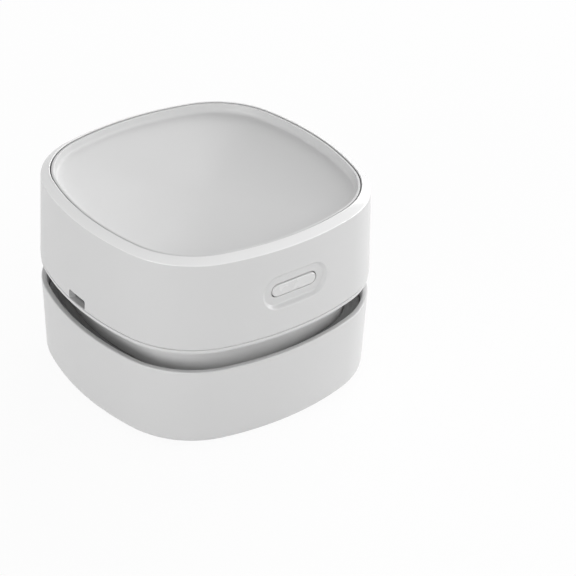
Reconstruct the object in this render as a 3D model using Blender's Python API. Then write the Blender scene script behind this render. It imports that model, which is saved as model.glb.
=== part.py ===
"""Desktop mini vacuum cleaner as an assembly of separate pieces.

Metres, +Z up. The origin is on the table, under the middle of the body.
The power button looks along -Y and the charging port along -X.
"""

import math

import bmesh
import bpy
from mathutils import Matrix, Vector

# Fits
CLEARANCE = 0.0003
OVERRUN = 0.003

# Body outline, a square drawn with eight tangent arcs
BODY_WIDTH = 0.085
SIDE_RADIUS = 0.082
CORNER_RADIUS = 0.026
SHOWN_STEPS = (4, 6)
HIDDEN_STEPS = (4, 4)

# Dust cup
STAND_HEIGHT = 0.0010
CUP_HEIGHT = 0.0242
CUP_WALL = 0.0016
CUP_FLOOR = 0.0018
CUP_TAPER = 0.0008
CUP_HEEL_RADIUS = 0.0022
CUP_INNER_RADIUS = 0.0016
CUP_LIP_ROUND = 0.00025
LEDGE_WIDTH = 0.0023
LEDGE_THICKNESS = 0.0010
CHIMNEY_BORE = 0.0180
CHIMNEY_WALL = 0.0014
CHIMNEY_RISE = 0.0047
MOUTH_FLARE = 0.0010

# Brush ring and its groove
BRUSH_RADIUS = 0.0218
BRUSH_WIDTH = 0.0030
BRUSH_BACKING = 0.0008
BRUSH_SINK = 0.0020
BRUSH_ARCS = 4
BRUSH_ARC_GAP = 0.0012
BRISTLE_ROWS = 4
BRISTLES_PER_ROW = 19
BRISTLE_RADIUS = 0.00022
BRISTLE_SIDES = 3
BRISTLE_LIFT = 0.00015
BRISTLE_ROOT = 0.0002

# Rubber feet
FOOT_DIAMETER = 0.0070
FOOT_POCKET = 0.0008
FOOT_ROUND = 0.0003
FOOT_EDGE = 0.0010

# Filter
FILTER_RISE = 0.0022
FILTER_SCREW_GAP = 0.00205
FILTER_HEIGHT = 0.0047
FILTER_WALL = 0.0022
FILTER_PLAY = 0.0006
FILTER_LIP = 0.0033
FILTER_LIP_THICKNESS = 0.0015
FILTER_RIB_WIDTH = 0.0018
FILTER_RIB_THICKNESS = 0.0012
FILTER_RIBS = 6
FILTER_EYE_DIAMETER = 0.0090
FILTER_EYE_WALL = 0.0018
MESH_THICKNESS = 0.0008
FOAM_THICKNESS = 0.0018

# Fan cover
COVER_THICKNESS = 0.0016
COVER_MARGIN = 0.0008
SOCKET_WALL = 0.0016
SOCKET_DROP = 0.0025
INLET_DIAMETER = 0.0260
INLET_RISE = 0.0015
INLET_WALL = 0.0012

# Fan housing: neck, flange and deck in one moulding
NECK_INSET = 0.00675
NECK_WALL = 0.0016
FLANGE_THICKNESS = 0.0020
FLANGE_PLAY = 0.0005
GAP_HEIGHT = 0.0058
DECK_THICKNESS = 0.0014
SLOT_BRIDGE = 0.0006
SLOT_HEIGHT = 0.0030
SLOT_WIDTH = 0.0034
SLOT_PITCH = 0.0056
SLOTS_PER_SIDE = 7
BOSS_DIAMETER = 0.0052
COVER_BOSS_HEIGHT = 0.0085
DECK_SCREW_EDGE = 0.0046

# Seal
SEAL_THICKNESS = 0.0020
SEAL_DISH = 0.0006

# Impeller
FAN_BOSS_GAP = 0.00525
FAN_PLATE = 0.0012
FAN_GAP = 0.0010
FAN_HUB_DIAMETER = 0.0090
FAN_NOSE = 0.0016
BLADES = 11
BLADE_THICKNESS = 0.0010
BLADE_ROOT_DIAMETER = 0.0230
BLADE_RIM_MARGIN = 0.0003
BLADE_SWEEP = 48
BLADE_STEPS = 4

# Motor
MOTOR_DIAMETER = 0.0244
MOTOR_HEIGHT = 0.0123
MOTOR_EDGE = 0.0010
MOTOR_NOSE_DIAMETER = 0.0062
SHAFT_DIAMETER = 0.0020
SHAFT_GRIP = 0.0060
SHAFT_TOP_COVER = 0.0010
BEARING_WALL = 0.0010
BEARING_LENGTH = 0.0020
END_CAP_HEIGHT = 0.0024
END_CAP_RECESS = 0.0010
TERMINAL_WIDTH = 0.0022
TERMINAL_THICKNESS = 0.0005
TERMINAL_HEIGHT = 0.0030
TERMINAL_SPREAD = 0.0140
MOTOR_SCREW_SPREAD = 0.0160
COLLAR_WALL = 0.0014
COLLAR_HEIGHT = 0.0060

# Cell, which fills the space behind the motor: 14 mm across and 49 mm long
CELL_FILL_SHARE = 0.6167
CELL_END_GAP = 0.00564
CELL_NUB_SHARE = 0.4
CELL_NUB_HEIGHT = 0.0010
CELL_EDGE = 0.0008
CELL_GROOVE = 0.0005
CELL_GROOVE_PLACE = 0.0035
TAB_THICKNESS = 0.0004
TAB_WIDTH = 0.0060
TAB_HEIGHT = 0.0100
SADDLE_THICKNESS = 0.0018
SADDLE_SPREAD = 0.0300
SADDLE_FLOOR = 0.0006
SADDLE_GRIP_SHARE = 0.82
CELL_STOP_THICKNESS = 0.0014
CELL_STOP_WIDTH = 0.0080
CELL_STOP_HEIGHT = 0.0110

# Boards
BOARD_THICKNESS = 0.0012
CHARGE_BOARD_LENGTH = 0.0130
CHARGE_BOARD_WIDTH = 0.0180
SWITCH_BOARD_WIDTH = 0.0200
SWITCH_BOARD_HEIGHT = 0.0140
BOARD_SCREW_EDGE = 0.0030
POST_DIAMETER = 0.0046
POST_DEPTH = 0.0040
SWITCH_SCREW_DROP = 0.0040

# Charging port
PORT_WIDTH = 0.0075
PORT_HEIGHT = 0.00245
PORT_DEPTH = 0.0055
PORT_WALL = 0.00035
PORT_TONGUE_WIDTH = 0.0046
PORT_TONGUE_THICKNESS = 0.0006
PORT_TAPER = 0.0006
PORT_WINDOW_MARGIN = 0.0002
PORT_WINDOW_ROUND = 0.0008

# Switch
SWITCH_WIDTH = 0.0062
SWITCH_DEPTH = 0.0034
PLUNGER_DIAMETER = 0.0034
PLUNGER_LENGTH = 0.0024
PLUNGER_SEAT = 0.0012

# Power button and its recess
BUTTON_HEIGHT_ABOVE_EDGE = 0.0140
BUTTON_LENGTH = 0.0150
BUTTON_WIDTH = 0.0036
BUTTON_PROUD = 0.0006
BUTTON_ROUND = 0.0004
BUTTON_TRAVEL = 0.0005
BUTTON_FLANGE = 0.0013
BUTTON_FLANGE_THICKNESS = 0.0010
RECESS_LENGTH = 0.0206
RECESS_WIDTH = 0.0106
RECESS_SLOPE = 0.0012
RECESS_DEPTH = 0.0011
PAD_THICKNESS = 0.0008
PAD_MARGIN = 0.0012

# Upper housing
HOUSING_HEIGHT = 0.02695
HOUSING_WALL = 0.0018
HOUSING_TAPER = 0.0009
EDGE_BEVEL_HEIGHT = 0.0013
EDGE_BEVEL_DEPTH = 0.0002
EDGE_ROUND = 0.0003
BELT_HEIGHT = 0.0010
RIM_WIDTH = 0.0024
RIM_RISE = 0.0016
RIM_ROUND = 0.0002
COVER_LEDGE_WIDTH = 0.0025
COVER_LEDGE_THICKNESS = 0.0010
HOUSING_BOSS_HEIGHT = 0.0160
RIB_THICKNESS = 0.0014
ROOT_SHARE = 0.75

# Dished top cover
DISH_STEP = 0.0003
DISH_WALL = 0.0008
DISH_WALL_DEPTH = 0.0024
DISH_WALL_SLOPE = 0.0003
DISH_FOOT_RADIUS = 0.0008
DISH_DEPTH = 0.0040
DISH_THICKNESS = 0.0014
DISH_RING_SHARES = (0.35, 0.70)

# Screws
SCREW_DIAMETER = 0.0020
SCREW_HEAD_DIAMETER = 0.0038
SCREW_HEAD_HEIGHT = 0.0012
CASE_SCREW_LENGTH = 0.0060
BOARD_SCREW_LENGTH = 0.0040
SCREW_TIP = 0.0006
DRIVE_DIAMETER = 0.0014
DRIVE_DEPTH = 0.0005

# Facets of round pieces
ROUND_STEPS = 24
SMALL_STEPS = 16
SCREW_STEPS = 8
ARC_STEPS = 3

# Finishes
WHITE_PLASTIC = (0.80, 0.80, 0.80)
GREY_PLASTIC = (0.62, 0.63, 0.63)
BLACK_PLASTIC = (0.03, 0.03, 0.03)
DARK_RUBBER = (0.02, 0.02, 0.02)
DARK_NYLON = (0.05, 0.05, 0.05)
PALE_NYLON = (0.70, 0.70, 0.68)
DARK_FOAM = (0.06, 0.06, 0.06)
BRIGHT_STEEL = (0.60, 0.60, 0.58)
BRONZE = (0.45, 0.28, 0.12)
BRASS = (0.70, 0.52, 0.22)
CELL_WRAP = (0.03, 0.18, 0.45)
BOARD_GREEN = (0.02, 0.16, 0.06)
SMOOTH = 0.25
SATIN = 0.45
DULL = 0.80
PLAIN = 0.0
METAL = 1.0
SHARP_ANGLE = 32

# Heights, from the table up
cup_bottom = STAND_HEIGHT
cup_lip = cup_bottom + CUP_HEIGHT
floor_top = cup_bottom + CUP_FLOOR
chimney_top = floor_top + CHIMNEY_RISE
filter_bottom = chimney_top + FILTER_RISE
filter_top = filter_bottom + FILTER_HEIGHT
cover_bottom = filter_top + CLEARANCE
cover_top = cover_bottom + COVER_THICKNESS
flange_bottom = cover_top + CLEARANCE
flange_top = flange_bottom + FLANGE_THICKNESS
ledge_top = flange_bottom - CLEARANCE
seal_bottom = flange_top + CLEARANCE
housing_bottom = cup_lip + GAP_HEIGHT
deck_top = housing_bottom + DECK_THICKNESS
rim_edge = housing_bottom + HOUSING_HEIGHT
rim_top = rim_edge + RIM_RISE
dish_foot = rim_top - DISH_STEP - DISH_WALL_DEPTH
dish_ledge_top = dish_foot - DISH_THICKNESS - CLEARANCE
motor_bottom = deck_top + CLEARANCE
motor_top = motor_bottom + MOTOR_HEIGHT
fan_top = housing_bottom - SCREW_HEAD_HEIGHT - CLEARANCE - FAN_GAP
inlet_top = cover_top + INLET_RISE
blade_bottom = inlet_top + FAN_GAP
button_height = housing_bottom + BUTTON_HEIGHT_ABOVE_EDGE

# Insets from the widest body outline
rim_inset = HOUSING_TAPER + RIM_WIDTH
ledge_inset = CUP_WALL + LEDGE_WIDTH
neck_inner_inset = NECK_INSET + NECK_WALL
deck_inset = HOUSING_WALL + CLEARANCE
dish_inset = rim_inset + RIM_ROUND + CLEARANCE

# Radii
chimney_radius = CHIMNEY_BORE / 2
chimney_outer = chimney_radius + CHIMNEY_WALL
groove_inner = BRUSH_RADIUS - BRUSH_WIDTH / 2 - CLEARANCE
groove_outer = BRUSH_RADIUS + BRUSH_WIDTH / 2 + CLEARANCE
motor_radius = MOTOR_DIAMETER / 2
collar_inner = motor_radius + CLEARANCE
collar_outer = collar_inner + COLLAR_WALL
shaft_radius = SHAFT_DIAMETER / 2
screw_radius = SCREW_DIAMETER / 2
screw_hole = screw_radius + CLEARANCE
boss_radius = BOSS_DIAMETER / 2

# Places in plan
half_width = BODY_WIDTH / 2
neck_half = half_width - neck_inner_inset
cover_screw_place = neck_half - boss_radius / 2
socket_outer = cover_screw_place - SCREW_HEAD_DIAMETER / 2 - FILTER_SCREW_GAP
socket_radius = socket_outer - SOCKET_WALL
filter_radius = socket_radius - FILTER_PLAY
filter_bore = filter_radius - FILTER_WALL
fan_radius = cover_screw_place - boss_radius - FAN_BOSS_GAP
deck_screw_x = neck_half - DECK_SCREW_EDGE
deck_screw_y = collar_outer


def lean(height):
    """Inset of the housing's outer face, which leans in above its belt."""
    belt = housing_bottom + EDGE_BEVEL_HEIGHT + BELT_HEIGHT
    return HOUSING_TAPER * max(0, height - belt) / (rim_edge - belt)


def cup_lean(height):
    """Inset of the cup's outer face, which widens from heel to lip."""
    heel = cup_bottom + CUP_HEEL_RADIUS
    return CUP_TAPER * (cup_lip - height) / (cup_lip - heel)


def arc_centres():
    """Distance of the side and corner arc centres, and the angle where they join."""
    side = half_width - SIDE_RADIUS
    spread = SIDE_RADIUS - CORNER_RADIUS
    corner = (side + math.sqrt(2 * spread ** 2 - side ** 2)) / 2
    return side, corner, math.atan2(corner, corner - side)


def outline(inset, steps=SHOWN_STEPS):
    """Points of the body outline, moved inward by the inset."""
    side, corner, joint = arc_centres()
    side_steps, corner_steps = steps
    points = []
    for quarter in range(4):
        turn = Matrix.Rotation(quarter * math.pi / 2, 2)
        for step in range(side_steps):
            angle = joint * (2 * step / side_steps - 1)
            along = Vector((math.cos(angle), math.sin(angle)))
            points.append(turn @ (Vector((side, 0)) + along * (SIDE_RADIUS - inset)))
        for step in range(corner_steps):
            angle = joint + (math.pi / 2 - 2 * joint) * step / corner_steps
            along = Vector((math.cos(angle), math.sin(angle)))
            points.append(turn @ (Vector((corner, corner)) + along * (CORNER_RADIUS - inset)))
    return points


def face_reach(inset, offset=0):
    """Distance from the axis to a side of the inset outline, at an offset along it."""
    side = arc_centres()[0]
    return side + math.sqrt((SIDE_RADIUS - inset) ** 2 - offset ** 2)


def outline_reach(inset, offset):
    """Distance from the axis to the inset outline, at any offset along a side."""
    side, corner, joint = arc_centres()
    if offset <= math.sin(joint) * (SIDE_RADIUS - inset):
        return face_reach(inset, offset)
    return corner + math.sqrt((CORNER_RADIUS - inset) ** 2 - (offset - corner) ** 2)


def corner_reach(inset):
    """Distance from the axis to a corner of the inset outline."""
    return arc_centres()[1] * math.sqrt(2) + CORNER_RADIUS - inset


def body_ring(inset, height, steps=SHOWN_STEPS, share=1):
    """A level ring of the body outline, drawn in by a share about the axis."""
    return [Vector((p.x * share, p.y * share, height)) for p in outline(inset, steps)]


def round_ring(radius, height, steps=SHOWN_STEPS):
    """A level circle whose points lie in line with those of the body outline."""
    return [Vector((*(p.normalized() * radius), height)) for p in outline(0, steps)]


# Cell, between the deck screws and the back wall
cell_inset = HOUSING_WALL + HOUSING_TAPER
cell_near = deck_screw_y + boss_radius + 2 * CLEARANCE
cell_radius = (face_reach(cell_inset) - cell_near) * CELL_FILL_SHARE / 2
cell_place = cell_near + cell_radius
cell_height = deck_top + SADDLE_FLOOR + CLEARANCE + cell_radius
tab_space = 2 * CLEARANCE + TAB_THICKNESS
cell_end_reach = outline_reach(cell_inset, cell_place + CELL_STOP_WIDTH / 2) - CELL_END_GAP
cell_half = cell_end_reach - CELL_STOP_THICKNESS - tab_space - CELL_NUB_HEIGHT

# Shaft
shaft_low = fan_top - SHAFT_GRIP
shaft_top = motor_top - END_CAP_RECESS - SHAFT_TOP_COVER

# Depths behind the front face, from the button to the board posts
button_face = -face_reach(lean(button_height))
recess_floor = button_face + RECESS_DEPTH
pad_back = button_face + HOUSING_WALL + PAD_THICKNESS
flange_front = pad_back + CLEARANCE
flange_back = flange_front + BUTTON_FLANGE_THICKNESS
plunger_front = flange_back + CLEARANCE
plunger_back = plunger_front + PLUNGER_LENGTH
switch_front = plunger_back - PLUNGER_SEAT
switch_back = switch_front + SWITCH_DEPTH
switch_board_front = switch_back + CLEARANCE
switch_board_back = switch_board_front + BOARD_THICKNESS
switch_post_face = switch_board_back + CLEARANCE
switch_screw_height = button_height - SWITCH_SCREW_DROP

# Places behind the side face with the charging port
port_mouth = CLEARANCE - face_reach(HOUSING_WALL, PORT_WIDTH / 2)
port_height = deck_top + CLEARANCE + PORT_HEIGHT / 2
charge_board_low = port_height + PORT_HEIGHT / 2 + CLEARANCE
charge_board_inset = HOUSING_WALL + lean(charge_board_low + BOARD_THICKNESS)
charge_board_edge = 2 * CLEARANCE - face_reach(charge_board_inset, CHARGE_BOARD_WIDTH / 2)


def solid(name, bm):
    """Turn a bmesh into an object whose faces point out."""
    bmesh.ops.recalc_face_normals(bm, faces=bm.faces)
    mesh = bpy.data.meshes.new(name)
    bm.to_mesh(mesh)
    bm.free()
    obj = bpy.data.objects.new(name, mesh)
    bpy.context.scene.collection.objects.link(obj)
    return obj


def loft(name, rings, closed=False):
    """Join rings of equal point counts into one body.

    A ring of one point is a pole. Open ends get a flat cap, and a closed
    loft joins its last ring to its first, as a hoop does.
    """
    bm = bmesh.new()
    made = [[bm.verts.new(point) for point in ring] for ring in rings]
    pairs = list(zip(made, made[1:]))
    if closed:
        pairs.append((made[-1], made[0]))
    for low, high in pairs:
        count = max(len(low), len(high))
        for index in range(count):
            after = (index + 1) % count
            if len(low) == 1:
                bm.faces.new((low[0], high[after], high[index]))
            elif len(high) == 1:
                bm.faces.new((low[index], low[after], high[0]))
            else:
                bm.faces.new((low[index], low[after], high[after], high[index]))
    if not closed:
        for ring in (made[0], made[-1]):
            if len(ring) > 1:
                bm.faces.new(ring)
    return solid(name, bm)


def turned(name, profile, steps=ROUND_STEPS, closed=False):
    """A body turned about Z from a profile of (radius, height) points."""
    rings = []
    for radius, height in profile:
        if radius == 0:
            rings.append([Vector((0, 0, height))])
            continue
        ring = []
        for step in range(steps):
            angle = 2 * math.pi * step / steps
            ring.append(Vector((radius * math.cos(angle), radius * math.sin(angle), height)))
        rings.append(ring)
    return loft(name, rings, closed)


def prism(name, points, low, high):
    """A flat outline in X and Y, extruded from the low to the high height."""
    rings = [[Vector((x, y, height)) for x, y in points] for height in (low, high)]
    return loft(name, rings)


def disc(name, radius, low, high, steps=SMALL_STEPS):
    """A plain round body about Z."""
    return turned(name, [(radius, low), (radius, high)], steps)


def block(name, low, high):
    """A box between two opposite corners."""
    points = [(low[0], low[1]), (high[0], low[1]), (high[0], high[1]), (low[0], high[1])]
    return prism(name, points, low[2], high[2])


def pill(length, width, steps=SMALL_STEPS // 2):
    """Outline of a bar with half-round ends, its length along X."""
    radius = width / 2
    points = []
    for end in (1, -1):
        for step in range(steps + 1):
            angle = math.pi * (step / steps - end / 2)
            across = Vector((math.cos(angle), math.sin(angle))) * radius
            points.append((end * (length / 2 - radius) + across.x, across.y))
    return points


def rounded_box(length, width, radius, steps=ARC_STEPS):
    """Outline of a rectangle with rounded corners."""
    points = []
    for quarter in range(4):
        side = 1 if quarter in (0, 3) else -1
        rise = 1 if quarter < 2 else -1
        for step in range(steps + 1):
            angle = math.pi / 2 * (quarter + step / steps)
            x = side * (length / 2 - radius) + radius * math.cos(angle)
            y = rise * (width / 2 - radius) + radius * math.sin(angle)
            points.append((x, y))
    return points


def moved(obj, matrix):
    """Turn or shift an object's mesh."""
    obj.data.transform(matrix)
    return obj


def shift(x=0, y=0, z=0):
    """Matrix that moves by the given lengths."""
    return Matrix.Translation((x, y, z))


def turn(degrees, axis):
    """Matrix that turns about an axis."""
    return Matrix.Rotation(math.radians(degrees), 4, axis)


def gathered(name, objects):
    """Join separate bodies into one object without fusing them."""
    bm = bmesh.new()
    for obj in objects:
        bm.from_mesh(obj.data)
        bpy.data.objects.remove(obj)
    return solid(name, bm)


def combined(body, tool, operation):
    """Cut a tool out of a body, or fuse the tool to it, and drop the tool."""
    modifier = body.modifiers.new("combine", "BOOLEAN")
    modifier.operation = operation
    modifier.solver = "EXACT"
    modifier.object = tool
    seen = body.evaluated_get(bpy.context.evaluated_depsgraph_get())
    result = bpy.data.meshes.new_from_object(seen)
    body.modifiers.clear()
    body.data = result
    bpy.data.objects.remove(tool)
    return body


def cut(body, tools):
    """Cut several separate tools out of a body."""
    return combined(body, gathered("tools", tools), "DIFFERENCE")


def fused(body, tools):
    """Fuse several separate tools to a body."""
    return combined(body, gathered("tools", tools), "UNION")


def finished(obj, colour, roughness, metallic, origin, parent):
    """Give a piece its material and place it under its parent."""
    material = bpy.data.materials.new(obj.name)
    material.use_nodes = True
    shader = material.node_tree.nodes["Principled BSDF"]
    shader.inputs["Base Color"].default_value = (*colour, 1)
    shader.inputs["Roughness"].default_value = roughness
    shader.inputs["Metallic"].default_value = metallic
    obj.data.materials.clear()
    obj.data.materials.append(material)
    obj.data.shade_smooth()
    obj.data.set_sharp_from_angle(angle=math.radians(SHARP_ANGLE))
    origin = Vector(origin)
    obj.data.transform(Matrix.Translation(-origin))
    obj.location = origin - parent.location
    obj.parent = parent
    return obj


def holder(name, place):
    """An empty that carries the pieces of one moving body."""
    empty = bpy.data.objects.new(name, None)
    empty.location = place
    bpy.context.scene.collection.objects.link(empty)
    return empty


def heel_arc(inset, height, radius):
    """Insets and heights round an outer bottom edge, from the floor up."""
    points = []
    for step in range(ARC_STEPS + 1):
        angle = math.pi / 2 * step / ARC_STEPS
        across = inset + radius * (1 - math.sin(angle))
        points.append((across, height + radius * (1 - math.cos(angle))))
    return points


def dust_cup(parent):
    """Open cup with a seal ledge, an intake chimney and a groove for the brush."""
    groove_top = cup_bottom + BRUSH_SINK
    ridge_top = groove_top + CHIMNEY_WALL
    wall_foot = floor_top + CUP_INNER_RADIUS
    ledge_low = ledge_top - LEDGE_THICKNESS
    under_ledge = ledge_low - (ledge_inset - CUP_WALL - cup_lean(ledge_low))
    floor_inset = CUP_WALL + cup_lean(wall_foot)
    rings = [
        round_ring(chimney_radius + MOUTH_FLARE, cup_bottom),
        round_ring(groove_inner, cup_bottom),
        round_ring(groove_inner, groove_top),
        round_ring(groove_outer, groove_top),
        round_ring(groove_outer, cup_bottom),
    ]
    for inset, height in heel_arc(CUP_TAPER, cup_bottom, CUP_HEEL_RADIUS):
        rings.append(body_ring(inset, height))
    rings += [
        body_ring(0, cup_lip - CUP_LIP_ROUND),
        body_ring(CUP_LIP_ROUND, cup_lip),
        body_ring(CUP_WALL - CUP_LIP_ROUND, cup_lip),
        body_ring(CUP_WALL, cup_lip - CUP_LIP_ROUND),
        body_ring(CUP_WALL + cup_lean(ledge_top), ledge_top),
        body_ring(ledge_inset, ledge_top),
        body_ring(ledge_inset, ledge_low),
        body_ring(CUP_WALL + cup_lean(under_ledge), under_ledge),
    ]
    for inset, height in reversed(heel_arc(floor_inset, floor_top, CUP_INNER_RADIUS)):
        rings.append(body_ring(inset, height))
    rings += [
        round_ring(groove_outer + CHIMNEY_WALL, floor_top),
        round_ring(groove_outer + CHIMNEY_WALL, ridge_top),
        round_ring(groove_inner - CHIMNEY_WALL, ridge_top),
        round_ring(groove_inner - CHIMNEY_WALL, floor_top),
        round_ring(chimney_outer, floor_top),
        round_ring(chimney_outer, chimney_top),
        round_ring(chimney_radius, chimney_top),
        round_ring(chimney_radius, cup_bottom + MOUTH_FLARE),
    ]
    cup = loft("dust_cup", rings, closed=True)
    pocket_radius = FOOT_DIAMETER / 2 + CLEARANCE
    pockets = []
    for place in foot_places():
        pocket = disc("pocket", pocket_radius, cup_bottom - OVERRUN, cup_bottom + FOOT_POCKET)
        pockets.append(moved(pocket, shift(*place)))
    cut(cup, pockets)
    return finished(cup, WHITE_PLASTIC, SATIN, PLAIN, (0, 0, cup_bottom), parent)


def foot_places():
    """Centres of the four feet, near the corners of the flat underside."""
    reach = corner_reach(CUP_TAPER + CUP_HEEL_RADIUS) - FOOT_EDGE - FOOT_DIAMETER / 2
    return [
        (side * reach / math.sqrt(2), rise * reach / math.sqrt(2))
        for side, rise in ((-1, -1), (1, -1), (1, 1), (-1, 1))
    ]


def rubber_feet(parent):
    """Four rubber pads, each in a pocket of the underside."""
    top = cup_bottom + FOOT_POCKET - CLEARANCE
    radius = FOOT_DIAMETER / 2
    names = ("front_left", "front_right", "back_right", "back_left")
    for name, place in zip(names, foot_places()):
        profile = [(radius - FOOT_ROUND, 0), (radius, FOOT_ROUND), (radius, top)]
        foot = turned("foot_" + name, profile, SMALL_STEPS)
        moved(foot, shift(*place))
        finished(foot, DARK_RUBBER, DULL, PLAIN, (*place, top), parent)


def brush_arcs(parent):
    """Four arcs of bristles round the intake, each on its own backing strip."""
    backing_top = cup_bottom + BRUSH_SINK - CLEARANCE
    backing_low = backing_top - BRUSH_BACKING
    inner = BRUSH_RADIUS - BRUSH_WIDTH / 2
    outer = BRUSH_RADIUS + BRUSH_WIDTH / 2
    span = 2 * math.pi / BRUSH_ARCS - BRUSH_ARC_GAP / BRUSH_RADIUS
    names = ("right", "back", "left", "front")
    for index, name in enumerate(names):
        middle = 2 * math.pi * index / BRUSH_ARCS
        arc = arc_strip("brush_" + name, inner, outer, middle, span, backing_low, backing_top)
        strands = []
        for row in range(BRISTLE_ROWS):
            radius = inner + BRUSH_WIDTH * (row + 1 / 2) / BRISTLE_ROWS
            for place in range(BRISTLES_PER_ROW):
                share = (place + (1 + row % 2 * 2) / 4) / BRISTLES_PER_ROW
                angle = middle + span * (share - 1 / 2)
                strands.append(bristle(radius, angle, backing_low))
        fused(arc, strands)
        place = (BRUSH_RADIUS * math.cos(middle), BRUSH_RADIUS * math.sin(middle), backing_low)
        finished(arc, DARK_NYLON, DULL, PLAIN, place, parent)


def arc_strip(name, inner, outer, middle, span, low, high):
    """A flat strip bent round the axis."""
    steps = ROUND_STEPS // BRUSH_ARCS
    points = []
    for radius, way in ((inner, 1), (outer, -1)):
        for step in range(steps + 1):
            angle = middle + way * span * (step / steps - 1 / 2)
            points.append((radius * math.cos(angle), radius * math.sin(angle)))
    return prism(name, points, low, high)


def bristle(radius, angle, backing_low):
    """One upright strand that roots in the backing strip."""
    strand = disc("strand", BRISTLE_RADIUS, BRISTLE_LIFT, backing_low + BRISTLE_ROOT, BRISTLE_SIDES)
    return moved(strand, shift(radius * math.cos(angle), radius * math.sin(angle)))


def filter_frame(parent):
    """Round frame with a finger lip and spokes under the filter layers."""
    rib_top = filter_bottom + FILTER_RIB_THICKNESS
    lip_radius = filter_radius + FILTER_LIP
    lip_top = filter_bottom + FILTER_LIP_THICKNESS
    eye = FILTER_EYE_DIAMETER / 2
    wheel = turned("filter_frame", [
        (filter_bore, filter_bottom), (lip_radius, filter_bottom), (lip_radius, lip_top),
        (filter_radius, lip_top), (filter_radius, filter_top), (filter_bore, filter_top),
    ], closed=True)
    ring = turned("eye", [
        (eye - FILTER_EYE_WALL, filter_bottom), (eye, filter_bottom),
        (eye, rib_top), (eye - FILTER_EYE_WALL, rib_top),
    ], SMALL_STEPS, closed=True)
    wheel = gathered("filter_frame", [wheel, ring])
    spokes = []
    for index in range(FILTER_RIBS):
        start = (eye - FILTER_EYE_WALL / 2, -FILTER_RIB_WIDTH / 2, filter_bottom)
        end = (filter_bore + FILTER_WALL / 2, FILTER_RIB_WIDTH / 2, rib_top)
        spokes.append(moved(block("spoke", start, end), turn(360 * index / FILTER_RIBS, "Z")))
    fused(wheel, spokes)
    return finished(wheel, GREY_PLASTIC, SATIN, PLAIN, (0, 0, filter_bottom), parent)


def filter_layers(parent):
    """A fine net and a foam disc, laid in the filter frame."""
    radius = filter_bore - CLEARANCE
    net_low = filter_bottom + FILTER_RIB_THICKNESS + CLEARANCE
    foam_low = net_low + MESH_THICKNESS + CLEARANCE
    net = disc("filter_net", radius, net_low, net_low + MESH_THICKNESS, ROUND_STEPS)
    finished(net, PALE_NYLON, DULL, PLAIN, (0, 0, net_low), parent)
    foam = disc("filter_foam", radius, foam_low, foam_low + FOAM_THICKNESS, ROUND_STEPS)
    finished(foam, DARK_FOAM, DULL, PLAIN, (0, 0, foam_low), parent)


def quarter_places(distance):
    """Four places about the axis, one on each side."""
    return [(distance, 0), (0, distance), (-distance, 0), (0, -distance)]


def mirrored_places(x, y):
    """Four places, one in each quarter."""
    return [(side * x, rise * y) for side, rise in ((-1, -1), (1, -1), (1, 1), (-1, 1))]


def screw_holes(places, low, high):
    """Cutters for upright screw holes."""
    return [moved(disc("hole", screw_hole, low, high), shift(*place)) for place in places]


def fan_cover(parent):
    """Plate under the fan with its inlet throat and the filter socket."""
    throat = INLET_DIAMETER / 2
    inset = ledge_inset + COVER_MARGIN
    rings = [
        body_ring(inset, cover_bottom, HIDDEN_STEPS),
        body_ring(inset, cover_top, HIDDEN_STEPS),
    ]
    for radius, height in (
        (throat + INLET_WALL, cover_top), (throat + INLET_WALL, inlet_top), (throat, inlet_top),
        (throat, cover_top), (throat + COVER_THICKNESS, cover_bottom),
        (socket_radius, cover_bottom), (socket_radius, cover_bottom - SOCKET_DROP),
        (socket_outer, cover_bottom - SOCKET_DROP), (socket_outer, cover_bottom),
    ):
        rings.append(round_ring(radius, height, HIDDEN_STEPS))
    plate = loft("fan_cover", rings, closed=True)
    places = quarter_places(cover_screw_place)
    cut(plate, screw_holes(places, cover_bottom - OVERRUN, cover_top + OVERRUN))
    return finished(plate, GREY_PLASTIC, SATIN, PLAIN, (0, 0, cover_bottom), parent)


def slot_cutters():
    """Cutters for the air slots in the four sides of the neck."""
    top = housing_bottom - SLOT_BRIDGE
    middle = (SLOTS_PER_SIDE - 1) / 2
    cutters = []
    for quarter in range(4):
        for index in range(SLOTS_PER_SIDE):
            across = (index - middle) * SLOT_PITCH
            near = face_reach(neck_inner_inset, across) - NECK_WALL
            start = (near, across - SLOT_WIDTH / 2, top - SLOT_HEIGHT)
            end = (half_width, across + SLOT_WIDTH / 2, top)
            cutters.append(moved(block("slot", start, end), turn(90 * quarter, "Z")))
    return cutters


def saddle(x):
    """Upright rib on the deck with a hollow that the cell lies in."""
    radius = cell_radius + CLEARANCE
    half_angle = math.asin(SADDLE_GRIP_SHARE)
    reach = radius * SADDLE_GRIP_SHARE
    root = deck_top - DECK_THICKNESS / 2
    points = [(cell_place - reach, root), (cell_place + reach, root)]
    for step in range(ARC_STEPS * 2 + 1):
        angle = half_angle * (1 - step / ARC_STEPS)
        points.append((cell_place + radius * math.sin(angle), cell_height - radius * math.cos(angle)))
    rib = prism("saddle", points, x - SADDLE_THICKNESS / 2, x + SADDLE_THICKNESS / 2)
    return moved(rib, turn(90, "Z") @ turn(90, "X"))


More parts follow.
